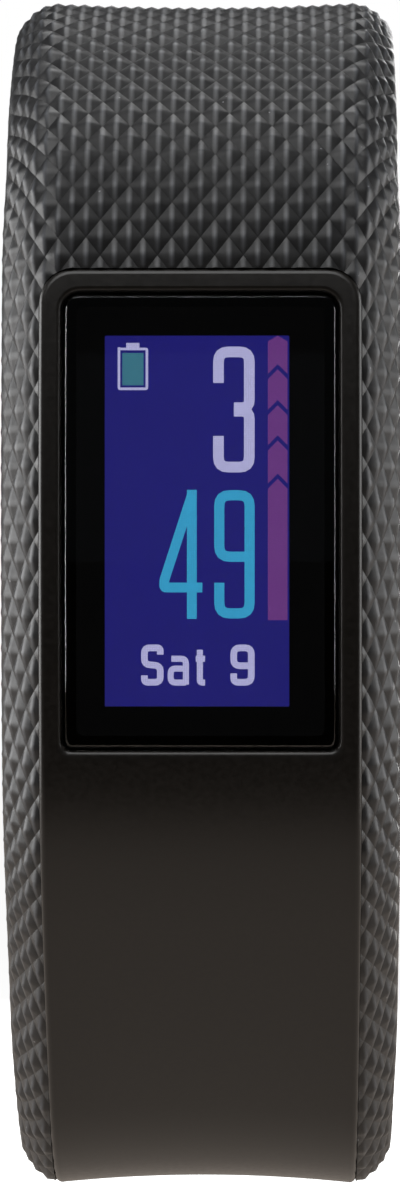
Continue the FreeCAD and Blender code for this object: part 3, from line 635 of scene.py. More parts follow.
def section(station):
    """Right half of the section as (x, depth) points, and the arc length where the rail ends."""
    s = station
    side = 1 if s >= 0 else -1
    end_half = ARM_HALF if side > 0 else TAIL_HALF
    y = outline([s])[0][0]
    half = float(ramp(y, *NARROWS, BAND_HALF, end_half))
    half += 0.14 * float(smooth_step(s, -42, -32) * (1 - smooth_step(s, 14, 24)))
    fade = RAIL_FADE[side]
    run = float(ramp(abs(s), *fade, BAND_HALF - FRONT_HALF, SHOULDER))
    drop = float(ramp(abs(s), *fade, RAIL_DEPTH, SHOULDER))
    deep = float(np.mean([wrist_depth(s + shift) for shift in (-2, -1, 0, 1, 2)]))
    top = 0.0
    if side > 0 and s > BAR_STATION - 6:
        past = s - BAR_STATION
        nose = math.sqrt(max(BAR_NOSE**2 - past**2, 0.0004)) if abs(past) < BAR_NOSE else 0.02
        nose = max(nose, ARM_THICK / 2) if past < 0 else nose
        half = float(ramp(s, BAR_STATION - 6, BAR_STATION - 3.5, half, 8.9))
        top, deep = ARM_THICK / 2 - nose, ARM_THICK / 2 + nose
    if s < TAIL_TIP + TIP_ROUND:
        round_off = math.sqrt(max(1 - ((TAIL_TIP + TIP_ROUND - s) / (0.99 * TIP_ROUND)) ** 2, 0.0))
        half *= max(round_off, 0.01)
        thin = 0.5 * (1 - round_off) ** 2 * ARM_THICK * 0.5
        top, deep = thin, deep - thin
    tall = deep - top
    drop = min(drop, tall - 2 * WRIST_BEVEL) if tall > 2.0 else tall * 0.4
    run, bevel = min(run, half * 0.5), min(WRIST_BEVEL, tall * 0.3, half * 0.4)
    corners = [
        (0.0, top), (half - run, top), (half, top + drop), (half, deep - bevel),
        (half - bevel, deep), (0.0, deep),
    ]
    soft = [0, min(1.8, run * 0.95), min(1.1, drop * 0.55, tall * 0.3), bevel * 0.45, bevel * 0.45, 0]
    points = [corners[0]]
    for number in range(1, 5):
        a, b, c = (np.array(corners[number + k]) for k in (-1, 0, 1))
        before, after = np.linalg.norm(a - b), np.linalg.norm(c - b)
        r = min(soft[number], before * 0.45, after * 0.45)
        p, q = b + (a - b) * r / max(before, 1e-9), b + (c - b) * r / max(after, 1e-9)
        for t in np.linspace(0, 1, 6):
            points.append(tuple((1 - t) ** 2 * p + 2 * t * (1 - t) * b + t**2 * q))
    points.append(corners[5])
    rail_end = half - run + math.hypot(run, drop)
    return np.array(points), rail_end, tall - drop


def walk(points, lengths):
    """Places at these arc lengths along a polyline, and the way out from it at each."""
    steps = np.linalg.norm(np.diff(points, axis=0), axis=1)
    reach = np.concatenate([[0], np.cumsum(steps)])
    x = np.interp(lengths, reach, points[:, 0])
    depth = np.interp(lengths, reach, points[:, 1])
    near = 0.02
    dx = np.interp(lengths + near, reach, points[:, 0]) - np.interp(lengths - near, reach, points[:, 0])
    dd = np.interp(lengths + near, reach, points[:, 1]) - np.interp(lengths - near, reach, points[:, 1])
    size = np.maximum(np.hypot(dx, dd), 1e-9)
    return x, depth, dd / size, -dx / size


HOLE_STATIONS = [TAIL_TIP + 8.0 + 6.3 * k for k in range(10)]


def relief_at(s, x, length, rail_end, side_height):
    """Full on the outside, gone on the walls, round the holes, at the bar and at the tip."""
    amount = 1 - smooth_step(length, rail_end - 1.2, rail_end + 0.25 * side_height)
    for station in HOLE_STATIONS:
        amount = amount * smooth_step(np.hypot(x, s - station), 1.5, 2.1)
    amount = amount * (1 - smooth_step(s, 64.5, 66.0)) * smooth_step(s, TAIL_TIP + 5.2, TAIL_TIP + 6.4)
    return amount


print("wrist face is", round(float(depth_to(WRIST_FACE, [0.0])[0]), 2), "mm under the lens")

# %% [markdown]
# Each length of the band is a closed grid of loops. The fine part of a loop has four steps to a
# pattern cell, and its faces are split along the valleys so that these stay crisp.

# %% Skin grids and the pattern's tree
FINE = 4


def skin(name, low, high):
    """A closed length of the band from one station to another, ready for the pattern."""
    rows = int(round((high - low) / CELL_ALONG * FINE))
    stations = np.linspace(low, high, rows + 1)
    if high > BAR_STATION:
        stations = np.append(stations[stations < BAR_STATION - 1], np.linspace(BAR_STATION - 1, high, 24))
    if low < TAIL_TIP + 1:
        tip = TAIL_TIP + TIP_ROUND - 0.99 * TIP_ROUND * np.sin(np.linspace(math.pi / 2, 0, 24))
        stations = np.append(tip, stations[stations > TAIL_TIP + TIP_ROUND + 0.1])
    sections = [section(s) for s in stations]
    widest = max(rail + 0.25 * tall + 0.4 for _, rail, tall in sections)
    fine = int(math.ceil(widest / CELL_ACROSS * FINE))
    fine_at = np.arange(fine + 1) * CELL_ACROSS / FINE
    points, out, relief, across, along = [], [], [], [], []
    for s, (shape, rail, tall) in zip(stations, sections):
        total = float(np.linalg.norm(np.diff(shape, axis=0), axis=1).sum())
        shrink = min(1.0, total / (fine_at[-1] + 3.0))
        rest = np.linspace(fine_at[-1] * shrink, total, 22)[1:]
        lengths = np.concatenate([fine_at * shrink, rest])
        x, depth, nx, nd = walk(shape, lengths)
        nx[0], nd[0], nx[-1], nd[-1] = 0, -1, 0, 1
        amount = relief_at(s, x, lengths, rail, tall)
        dip = dish(s, x) * (1 - smooth_step(lengths, rail, rail + 2.0))
        right = place(s, depth + dip, x)
        in_y, in_z = (float(v[0]) for v in inward([s]))
        way = np.stack([nx, nd * in_y, nd * in_z], axis=-1)
        left, left_way = right[1:-1][::-1] * [-1, 1, 1], way[1:-1][::-1] * [-1, 1, 1]
        points.append(np.concatenate([right, left]))
        out.append(np.concatenate([way, left_way]))
        relief.append(np.concatenate([amount, amount[1:-1][::-1]]))
        across.append(np.concatenate([lengths, lengths[1:-1][::-1]]))
        along.append(np.full(len(relief[-1]), s))
    size = len(points[0])
    faces = []
    for i in range(len(stations) - 1):
        for k in range(size):
            n = (k + 1) % size
            a, b, c, d = i * size + k, i * size + n, (i + 1) * size + n, (i + 1) * size + k
            near = min(across[i][k], across[i][n]) + 1e-6
            cell = int(near / CELL_ACROSS) + math.floor((stations[i] + 1e-6) / CELL_ALONG)
            rising = across[i][n] > across[i][k]
            if (cell % 2 == 0) == rising:
                faces += [(a, b, d), (b, c, d)]
            else:
                faces += [(a, b, c), (a, c, d)]
    faces.append(tuple(range(size)))
    faces.append(tuple(range((len(stations) - 1) * size, len(stations) * size))[::-1])
    piece = mesh_piece(name, points, faces, SILICONE)
    for label, values, kind, field in (
        ("across", across, "FLOAT", "value"), ("along", along, "FLOAT", "value"),
        ("relief", relief, "FLOAT", "value"), ("out", out, "FLOAT_VECTOR", "vector"),
    ):
        data = piece.data.attributes.new(label, kind, "POINT")
        data.data.foreach_set(field, np.concatenate(values).astype(float).ravel())
    return piece


PATTERN_SIZES = {
    "Cell_across": CELL_ACROSS, "Cell_along": CELL_ALONG,
    "Height": KNURL_HEIGHT * MM, "Proud": KNURL_PROUD * MM, "Finish": SILICONE,
}


def pattern_tree():
    steps = Steps("diamond_knurl", **PATTERN_SIZES)
    start = steps.start
    fold = [
        steps.math("PINGPONG", steps.math("DIVIDE", steps.attribute(name), start[label]), 1.0)
        for name, label in (("across", "Cell_across"), ("along", "Cell_along"))
    ]
    height = steps.math("ABSOLUTE", steps.math("SUBTRACT", 1.0, steps.math("ADD", *fold)))
    sunk = steps.math("MULTIPLY", steps.math("SUBTRACT", 1.0, height), steps.attribute("relief"))
    proud = steps.math("MULTIPLY", start["Proud"], steps.attribute("relief"))
    amount = steps.math("SUBTRACT", proud, steps.math("MULTIPLY", sunk, start["Height"]))
    offset = steps.tree.nodes.new("ShaderNodeVectorMath")
    offset.operation = "SCALE"
    steps.feed(offset.inputs[0], steps.attribute("out", "FLOAT_VECTOR"))
    steps.feed(offset.inputs["Scale"], amount)
    moved = steps.node("GeometryNodeSetPosition", Geometry=start["Geometry"], Offset=offset.outputs[0])
    # The ridges of the pattern are stored as a mask for a painted highlight in the silicone's colour.
    off_ridge = steps.math("MINIMUM", fold[0], steps.math("SUBTRACT", 1.0, fold[0]))
    ridge = steps.math("SUBTRACT", 1.0, steps.math("MULTIPLY", off_ridge, float(FINE)))
    shown = steps.math("MULTIPLY", height, steps.attribute("relief"))
    ridge_shine = steps.math("MULTIPLY", steps.math("MAXIMUM", ridge, 0.0), shown)
    kept = steps.node(
        "GeometryNodeStoreNamedAttribute", {"data_type": "FLOAT"},
        Geometry=moved.outputs[0], Name="wear", Value=ridge_shine,
    )
    return steps.finish(kept.outputs[0])


PATTERN = pattern_tree()


def rods(name, centres, ways, radius, length, flare=0.0, sides=32):
    """Round rods in one mesh, for cutting holes. A flare widens both ends."""
    points, faces = [], []
    for centre, way in zip(centres, ways):
        way = Vector(way).normalized()
        across = way.orthogonal().normalized()
        other = way.cross(across)
        base, levels = len(points), [-length / 2, -length / 2 + 0.0002, length / 2 - 0.0002, length / 2]
        for level, grow in zip(levels, (flare, 0, 0, flare)):
            for k in range(sides):
                turn = 2 * math.pi * k / sides
                spoke = across * math.cos(turn) + other * math.sin(turn)
                points.append(tuple(Vector(centre) + way * level + spoke * (radius + grow)))
        for ring in range(3):
            faces += joined(base + ring * sides, base + (ring + 1) * sides, sides)
        faces += [tuple(range(base, base + sides))[::-1], tuple(range(base + 3 * sides, base + 4 * sides))]
    rod = mesh_piece(name, points, faces)
    outward_faces(rod)
    return rod


def box_prism(name, low, high, x, depth, steps=24, round_top=0.0):
    """A block between stations, x values and depths; its upper end may have rounded corners."""
    stations = np.linspace(low, high - round_top, steps)
    if round_top:
        curve = round_top * np.sin(np.linspace(0.12, math.pi / 2, 9))
        stations = np.append(stations, high - round_top + curve)
    rings = []
    for s in stations:
        past = max(0.0, s - (high - round_top))
        cut_in = round_top - math.sqrt(max(round_top**2 - past**2, 0.0)) if round_top else 0.0
        a, b = (d(s) if callable(d) else d for d in depth)
        left, right = x[0] + cut_in, x[1] - cut_in
        rings.append(place(s, np.array([a, b, b, a]), np.array([left, left, right, right])))
    return ring_solid(name, rings, None)


print("pattern inputs", [s.name for s in PATTERN.interface.items_tree])

# %% [markdown]
# The lengths meet where nothing bends, so no seam opens. The one round the module is stiff. The
# others each run over one bend of the band.

# %% The band's lengths
MODULE_SKIN = (-43.5, 19.5)
# Each length's node, its two end stations, the bodies it joins, and where its bend starts and ends.
BENDS = {
    "skin_shoulder": ("strap_upper", MODULE_SKIN[1], 34.5, "module", "upper_arm", 19.9, 30.0),
    "skin_buckle_arm": ("strap_buckle_end", 34.5, BAR_STATION + 1.5, "upper_arm", "buckle_arm", 35.0, 53.0),
    "skin_lower": ("strap_lower", -60.5, MODULE_SKIN[0], "module", "lower_arm", -44.0, -56.0),
    "skin_tail": ("strap_tail", -85.5, -60.5, "lower_arm", "tail_arm", -61.5, -82.5),
    "skin_tail_end": ("strap_tail_tip", TAIL_TIP, -85.5, "tail_arm", "tail_end", -86.0, -108.4),
}


def rounded_outline(half_x, low_z, high_z, radii, per_corner=8, per_side=(10, 24)):
    """Corner points and radii, both anticlockwise from the lower right."""
    centres = [
        (half_x - radii[0], low_z + radii[0], -90), (half_x - radii[1], high_z - radii[1], 0),
        (-half_x + radii[2], high_z - radii[2], 90), (-half_x + radii[3], low_z + radii[3], 180),
    ]
    arcs = []
    for (cx, cz, first), radius in zip(centres, radii):
        turns = np.radians(np.linspace(first, first + 90, per_corner))
        arcs.append(np.stack([cx + radius * np.cos(turns), cz + radius * np.sin(turns)], axis=-1))
    found = []
    for number, arc in enumerate(arcs):
        following = arcs[(number + 1) % 4][0]
        found.append(arc)
        count = per_side[1] if number % 2 == 0 else per_side[0]
        found.append(arc[-1] + (following - arc[-1]) * np.linspace(0, 1, count + 2)[1:-1, None])
    return np.concatenate(found)


def flat_ring(loop, y):
    """An outline of (x, z) stood up at a distance behind the lens."""
    return np.stack([loop[:, 0], np.full(len(loop), y + FACE_Y), loop[:, 1] + FACE_Z], axis=-1) * MM


def module_skin():
    piece = run_steps(skin("skin_module", *MODULE_SKIN), PATTERN, **PATTERN_SIZES)
    pocket = box_prism(
        "pocket", -46.0, RIM_TOP + 0.02, (-FRONT_HALF - 0.02, FRONT_HALF + 0.02),
        (-1.5, lambda s: float(min(depth_to(TUB_FACE, [s])[0] + 0.02, 8.4)) if s < 12.8 else 1.4),
        steps=60, round_top=1.8,
    )
    cut(piece, pocket)
    border = rounded_outline(7.32, -13.12, 13.12, [1.6] * 4)
    rings = [flat_ring(border, y) for y in (TUB_BACK - 0.3, TUB_BACK + 4)]
    cut(piece, ring_solid("cover_pocket", rings, None))
    return piece


def chin_pocket(piece):
    cut(piece, box_prism(
        "chin_pocket", CHIN_END - 0.02, -42.0, (-FRONT_HALF - 0.02, FRONT_HALF + 0.02),
        (-1.5, lambda s: float(depth_to(TUB_FACE, [max(s, -46.8)])[0] + 0.02) if s > -46.9 else 1.5),
        steps=30,
    ))


module_piece = module_skin()
sharp_edges(module_piece, 48, valley=15)
shown(module_piece, "band_silicone", "strap_surround", body="module")
for name, (node, low, high, first, second, start, end) in BENDS.items():
    piece = run_steps(skin(name, low, high), PATTERN, **PATTERN_SIZES)
    if name == "skin_lower":
        chin_pocket(piece)
    holes = [s for s in HOLE_STATIONS if low < s < high]
    if holes:
        centres = place(holes, 1.3, 0.0)
        in_y, in_z = inward(holes)
        ways = [(0, a, b) for a, b in zip(in_y, in_z)]
        cut(piece, rods("holes", centres, ways, 0.00115, 0.0068))
    if name == "skin_buckle_arm":
        notch = BAR_STATION - 3.4, BAR_STATION + 3
        cut(piece, box_prism("tongue_notch", *notch, (-1.35, 1.35), (-3, 6)))
        middle = place([BAR_STATION], ARM_THICK / 2, 0.0)[0]
        cut(piece, rods("bar_hole", [middle], [(1, 0, 0)], 0.0008, 0.03))
    sharp_edges(piece, 48, valley=15)
    ends = place([start, end], 1.5, 0.0)
    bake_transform(piece)
    shown(piece, "band_silicone", node)

# %% [markdown]
# ## The front shell
#
# One smooth shell runs round the lens and down over the chin without a seam. It is a stack of
# rings that grow from the window's outline to the shell's, laid on the band's line, with softly
# rounded edges. Under the lens a ledge carries the glass.

# %% Front shell
LENS_HALF_WIDTH, LENS_HALF_HEIGHT, LENS_CORNER, LENS_BACK = 7.2, 12.0, 0.9, 1.5
SHELL_THICK, SHELL_EDGE, WINDOW_EDGE = 1.3, 0.32, 0.28
LEDGE_TOP, LEDGE_BACK = LENS_BACK + 0.15, 2.3


def on_shell(loop, depth):
    """Rows of (x, station) laid on the band's line at a depth, with the dip of the moulding."""
    x, s = loop[:, 0], loop[:, 1]
    return place(s, depth + dish(s, x), x)


def front_shell():
    counts = dict(per_corner=8, per_side=(16, 70))
    gap = LENS_HALF_WIDTH + 0.06, LENS_HALF_HEIGHT + 0.06

    def outer(inset):
        r = max(1.8 - inset, 0.3)
        low, high = CHIN_END + inset, RIM_TOP - inset
        return rounded_outline(FRONT_HALF - inset, low, high, [0.35, r, r, 0.35], **counts)

    def window(grow):
        r = LENS_CORNER + 0.06 + grow
        return rounded_outline(gap[0] + grow, -gap[1] - grow, gap[1] + grow, [0.55, r, r, 0.55], **counts)

    rings = [on_shell(outer(0.0), SHELL_THICK)]
    for t in np.radians([0, 22, 45, 68, 90]):
        rings.append(on_shell(outer(SHELL_EDGE * (1 - math.cos(t))), SHELL_EDGE * (1 - math.sin(t))))
    inner_loop, outer_loop = window(WINDOW_EDGE), outer(SHELL_EDGE)
    for t in np.linspace(0, 1, 76)[1:-1]:
        rings.append(on_shell(outer_loop + (inner_loop - outer_loop) * t, 0.0))
    for t in np.radians([90, 60, 30, 0]):
        rings.append(on_shell(window(WINDOW_EDGE * (1 - math.cos(t))), WINDOW_EDGE * (1 - math.sin(t))))
    rings.append(flat_ring(window(0.0), LEDGE_TOP))
    ledge = rounded_outline(6.4, -11.1, 11.1, [0.4] * 4, **counts)
    rings += [flat_ring(ledge, LEDGE_TOP), flat_ring(ledge, LEDGE_BACK), flat_ring(window(-0.1), LEDGE_BACK)]
    rings.append(on_shell(window(0.3), SHELL_THICK + 0.3))
    for t in np.linspace(1, 0, 20)[1:-1]:
        rings.append(on_shell(outer_loop + (inner_loop - outer_loop) * t, SHELL_THICK))
    return ring_solid("front_shell", rings, HOUSING, loop=True, sharp=50)


shown(front_shell(), "housing_plastic", "front_housing", body="module")

# %% [markdown]
# ## The lens and what shows through it
#
# The lens is a crowned slab with a narrow bevel that catches a thin line of light. Behind it, black
# print leaves a window for the display. The picture is built from thin shapes: strokes with rounded
# turns for the numerals, a battery, and a bar with notches. Places are in 64ths of the picture's
# width, counted from its upper left corner.

# %% Lens
def lens_slab():
    counts = dict(per_corner=10, per_side=(14, 24))

    def loop(inset):
        r = [max(c - inset, 0.15) for c in (0.5, LENS_CORNER, LENS_CORNER, 0.5)]
        tall = LENS_HALF_HEIGHT - inset
        return rounded_outline(LENS_HALF_WIDTH - inset, -tall, tall, r, **counts)

    rings = [flat_ring(loop(0.1), LENS_BACK), flat_ring(loop(0.0), LENS_BACK - 0.1)]
    bevel = ((0.0, 0.26), (0.03, 0.2), (0.2, 0.03), (0.26, 0.0))
    rings += [on_shell(loop(inset), depth) for inset, depth in bevel]
    rings += [on_shell(loop(0.26) * (1 - t), 0.0) for t in np.linspace(0, 0.985, 14)[1:]]
    return ring_solid("lens_glass", rings, LENS, sharp=25)


shown(lens_slab(), "lens_glass", "lens", body="module")

# %% [markdown]
# The black print reaches to the lens's edge, so that nothing behind it shows.

# %% Print behind the lens
PICTURE_HALF, PICTURE_HALF_TALL = 4.83, 9.68
PICTURE_MIDDLE = -0.18      # the picture sits a little left of the lens's middle
PRINT_INSET = 0.04


def lens_print():
    counts = dict(per_corner=8, per_side=(10, 20))
    wide, tall = LENS_HALF_WIDTH - PRINT_INSET, LENS_HALF_HEIGHT - PRINT_INSET
    edge = rounded_outline(wide, -tall, tall, [0.5, 0.86, 0.86, 0.5], **counts)
    opening = rounded_outline(PICTURE_HALF, -PICTURE_HALF_TALL, PICTURE_HALF_TALL, [0.08] * 4, **counts)
    opening = opening + [PICTURE_MIDDLE, 0]
    front, back = LENS_BACK + 0.005, LENS_BACK + 0.05
    rings = [flat_ring(loop, y) for loop, y in ((edge, front), (opening, front), (opening, back), (edge, back))]
    return ring_solid("lens_print", rings, BLACK, loop=True)


shown(lens_print(), "black_print", "border_mask", body="module")

# %% [markdown]
# The picture is an hour over a minute, a short day and date below, a battery sign and a bar. All of
# it is plain and generic. Signs are polylines in a box of one by one, stretched to a column and a row.

# %% Picture
UNIT = 2 * PICTURE_HALF / 64
PICTURE_TOP = FACE_Z + PICTURE_HALF_TALL
INDIGO = lit("picture_ground", (0.015, 0.013, 0.19))
LAVENDER = lit("picture_lavender", (0.52, 0.51, 0.82))
CYAN = lit("picture_cyan", (0.045, 0.40, 0.68))
TEAL = lit("picture_teal", (0.05, 0.20, 0.27))
PURPLE = lit("picture_purple", (0.16, 0.045, 0.24))
FRONT_OF_PICTURE, BACK_OF_PICTURE = 1.90, 1.945
STROKE_LAYERS = (FRONT_OF_PICTURE + 0.005, FRONT_OF_PICTURE + 0.02)
HOUR_ROW, MINUTE_ROW, DAY_ROW = (3.8, 47.3), (53.4, 97.6), (106.6, 120.8)
RIGHT_EDGE = 52.0           # the numerals' right edge


def spot(u, v, layer):
    """A point of the picture, from units across and down."""
    return ((u - 32) * UNIT + PICTURE_MIDDLE) * MM, (FACE_Y + layer) * MM, (PICTURE_TOP - v * UNIT) * MM


def turned_corners(points, radius, steps=5):
    """Round the inner corners of a polyline."""
    points = [np.array(p, float) for p in points]
    found = [points[0]]
    for a, b, c in zip(points, points[1:], points[2:]):
        before, after = np.linalg.norm(a - b), np.linalg.norm(c - b)
        r = min(radius, before * 0.49, after * 0.49)
        p, q = b + (a - b) / before * r, b + (c - b) / after * r
        found += [(1 - t) ** 2 * p + 2 * t * (1 - t) * b + t * t * q for t in np.linspace(0, 1, steps)]
    found.append(points[-1])
    return found


def stroke(points, width, turn):
    """Rings of a thin bar that follows a polyline in the picture."""
    path = np.array(turned_corners(points, turn))
    keep = np.concatenate([[True], np.linalg.norm(np.diff(path, axis=0), axis=1) > 1e-6])
    path = path[keep]
    steps = np.diff(path, axis=0)
    steps /= np.linalg.norm(steps, axis=1)[:, None]
    ways = np.concatenate([steps[:1], steps[:-1] + steps[1:], steps[-1:]])
    ways /= np.linalg.norm(ways, axis=1)[:, None]
    first = np.concatenate([steps[:1], steps])
    wide = width / 2 / np.maximum((ways * first).sum(axis=1), 0.5)
    side = np.stack([-ways[:, 1], ways[:, 0]], axis=-1) * wide[:, None]
    rings = []
    for p, w in zip(path, side):
        near, far = p + w, p - w
        front, back = STROKE_LAYERS
        rings.append([spot(*near, front), spot(*far, front), spot(*far, back), spot(*near, back)])
    return rings


def strokes_piece(name, all_rings, material):
    points, faces = [], []
    for rings in all_rings:
        base = len(points)
        for i, ring in enumerate(rings):
            points += ring
            if i:
                faces += joined(base + 4 * (i - 1), base + 4 * i, 4)
        faces += [tuple(range(base, base + 4)), tuple(range(len(points) - 4, len(points)))]
    piece = mesh_piece(name, points, faces, material, smooth=False)
    outward_faces(piece)
    shown(piece, "display", body="module")


GLYPHS = {
    "3": [[(0, .27), (0, 0), (1, 0), (1, .485), (.5, .485)],
          [(.5, .515), (1, .515), (1, 1), (0, 1), (0, .73)]],
    "4": [[(.80, 0), (-.04, .72), (-.04, .78), (1.12, .78)], [(.80, -.045), (.80, 1.045)]],
    "9": [[(1, .52), (0, .52), (0, 0), (1, 0), (1, 1), (0, 1), (0, .74)]],
    "S": [[(1, .2), (1, 0), (0, 0), (0, .48), (1, .52), (1, 1), (0, 1), (0, .8)]],
    "a": [[(.05, .32), (1, .32), (1, 1.06)], [(1, .6), (0, .6), (0, 1), (1, 1)]],
    "t": [[(.38, .06), (.38, 1), (1.1, 1)], [(-.2, .32), (1.1, .32)]],
}


def glyph(letter, column, row, width, turn):
    """The strokes of one sign, drawn inside its column and row."""
    low_u, high_u = column[0] + width / 2, column[1] - width / 2
    low_v, high_v = row[0] + width / 2, row[1] - width / 2
    return [
        stroke([(low_u + (high_u - low_u) * u, low_v + (high_v - low_v) * v) for u, v in path], width, turn)
        for path in GLYPHS[letter]
    ]


def picture():
    sheet = ((0, 0), (64, 0), (64, 128), (0, 128))
    ground = [spot(u, v, y) for y in (FRONT_OF_PICTURE + 0.03, BACK_OF_PICTURE) for u, v in sheet]
    sides = [(0, 1, 2, 3), (4, 5, 6, 7)] + joined(0, 4, 4)
    plate = mesh_piece("picture_ground", ground, sides, INDIGO, smooth=False)
    outward_faces(plate)
    shown(plate, "display", body="module")
    hours = glyph("3", (37.6, RIGHT_EDGE), HOUR_ROW, 3.7, 3.4)
    small = glyph("S", (12.6, 20.4), DAY_ROW, 2.3, 1.9) + glyph("a", (21.8, 29.2), DAY_ROW, 2.1, 1.7)
    small += glyph("t", (31.0, 35.6), DAY_ROW, 2.1, 1.5) + glyph("9", (43.6, RIGHT_EDGE), DAY_ROW, 2.3, 2.2)
    outline_of_cell = [stroke([(4.9, 4.6), (14.6, 4.6), (14.6, 18.4), (4.9, 18.4), (4.9, 4.0)], 0.9, 0.5),
                       stroke([(7.4, 3.4), (12.0, 3.4)], 1.8, 0.1)]
    strokes_piece("picture_lavender", hours + small + outline_of_cell, LAVENDER)
    minutes = glyph("4", (19.4, 34.2), MINUTE_ROW, 3.4, 0.8)
    minutes += glyph("9", (38.0, RIGHT_EDGE), MINUTE_ROW, 3.5, 3.6)
    strokes_piece("picture_cyan", minutes, CYAN)
    strokes_piece("picture_cell", [stroke([(9.75, 6.0), (9.75, 17.2)], 7.4, 0.1)], TEAL)
    bar = []
    notches = [10.8, 23.2, 35.4, 48.6]
    left, right, lean, gap = 56.6, 63.4, 3.4, 0.9
    tops = [0.0] + [n + gap for n in notches]
    ends = [n - gap for n in notches] + [98.2]
    for number, (top, end) in enumerate(zip(tops, ends)):
        bar.append((left, right, top, end, lean if number else 2.0, lean if number < 4 else 0.0))
    points, faces = [], []
    for u0, u1, v0, v1, peak_top, peak_end in bar:
        middle = (u0 + u1) / 2
        flat = [(u0, v0 + peak_top), (middle, v0), (u1, v0 + peak_top)]
        flat += [(u1, v1 + peak_end), (middle, v1), (u0, v1 + peak_end)]
        base = len(points)
        points += [spot(u, v, layer) for layer in STROKE_LAYERS for u, v in flat]
        faces += joined(base, base + 6, 6)
        for end in (base, base + 6):
            faces += [(end, end + 1, end + 4, end + 5), (end + 1, end + 2, end + 3, end + 4)]
    progress = mesh_piece("picture_bar", points, faces, PURPLE, smooth=False)
    outward_faces(progress)
    shown(progress, "display", body="module")


picture()
print("picture unit", round(UNIT, 4), "mm")

# %% [markdown]
# ## Keeper
#
# The keeper is a soft silicone loop round the buckle arm, which holds the free tail down.

# %% Keeper
def keeper_loop():
    half, wall, gap = ARM_HALF, 1.2, 0.3
    counts = dict(per_corner=7, per_side=(12, 4))
    low, high = -gap - 2.8, ARM_THICK + gap
    inside = rounded_outline(half + gap, low, high, [0.9] * 4, **counts)
    outside = rounded_outline(half + gap + wall, low - wall, high + wall, [1.8] * 4, **counts)
    soft, reach, middle, rings = 0.4, 2.5, 64.0, []
    turns = np.radians([90, 67, 45, 22, 0])
    edge = [(-reach + soft * (1 - math.sin(t)), 1 - soft / wall * (1 - math.cos(t))) for t in turns]
    round_side = edge + [(0.0, 1.0)] + [(-along, out) for along, out in edge[::-1]]
    plain_side = [(reach, 0.25), (reach - 0.2, 0.0), (0.0, 0.0), (0.2 - reach, 0.0), (-reach, 0.25)]
    for along, out in round_side + plain_side:
        loop = inside + (outside - inside) * out
        rings.append(place(middle + along, loop[:, 1], loop[:, 0]))
    return ring_solid("keeper", rings, SILICONE, loop=True, sharp=50)


shown(keeper_loop(), "band_silicone", "keeper_loop", body="keeper")

# %% [markdown]
# ## Buckle
#
# The buckle swings on the spring bar at the arm's end. Its frame is a bent steel bar with rounded
# edges, sunk a little where the tongue rests. The tongue is a round barrel with a flat finger.

# %% Buckle frame and tongue
FRAME_IN, FRAME_OUT, FRAME_REACH, FRAME_THICK, FRAME_BAR = 9.2, 10.9, 10.0, 1.9, 1.7
BAR_MIDDLE = Vector(place([BAR_STATION], ARM_THICK / 2, 0.0)[0])
BAR_IN = Vector((0, *(float(v[0]) for v in inward([BAR_STATION]))))
BAR_ALONG = Vector((1, 0, 0)).cross(BAR_IN)


def bar_point(x, along, out):
    """A point near the spring bar: across, past the bar, and outwards, in millimetres."""
    return tuple(BAR_MIDDLE + (Vector((x, 0, 0)) + BAR_ALONG * along - BAR_IN * out) * MM)


def buckle_frame():
    side, front, turn = (FRAME_IN + FRAME_OUT) / 2, FRAME_REACH - FRAME_BAR / 2, 2.2
    corner = turned_corners([(-side, -1.6), (-side, front), (side, front), (side, -1.6)], turn, steps=12)
    path = []
    for a, b in zip(corner, corner[1:]):
        count = max(1, int(np.linalg.norm(b - a) / 0.4))
        path += [a + (b - a) * k / count for k in range(count)]
    path = np.array(path + [corner[-1]])
    steps = np.gradient(path, axis=0)
    steps /= np.linalg.norm(steps, axis=1)[:, None]
    run = np.concatenate([[0], np.cumsum(np.linalg.norm(np.diff(path, axis=0), axis=1))])
    rings = []
    for (x, along), (dx, da), reach in zip(path, steps, np.minimum(run, run[-1] - run)):
        sink = 0.37 * (1 - float(smooth_step(abs(x), 1.25, 1.7))) if along > 5 else 0.0
        end = math.sqrt(max(1 - (1 - min(reach / 0.8, 1.0)) ** 2, 0.02))
        flat = rounded_outline(FRAME_BAR / 2 * end, -FRAME_THICK / 2 * end, FRAME_THICK / 2 * end - sink,
                               [0.5 * end] * 4, per_corner=6, per_side=(1, 1))
        rings.append([bar_point(x - da * p, along + dx * p, q) for p, q in flat])
    bar = ring_solid("buckle", rings, BUCKLE, sharp=60)
    sockets = [bar_point(s * (FRAME_IN + 0.3), 0, 0) for s in (-1, 1)]
    return cut(bar, rods("pin_sockets", sockets, [(1, 0, 0)] * 2, 0.00047, 0.0016))


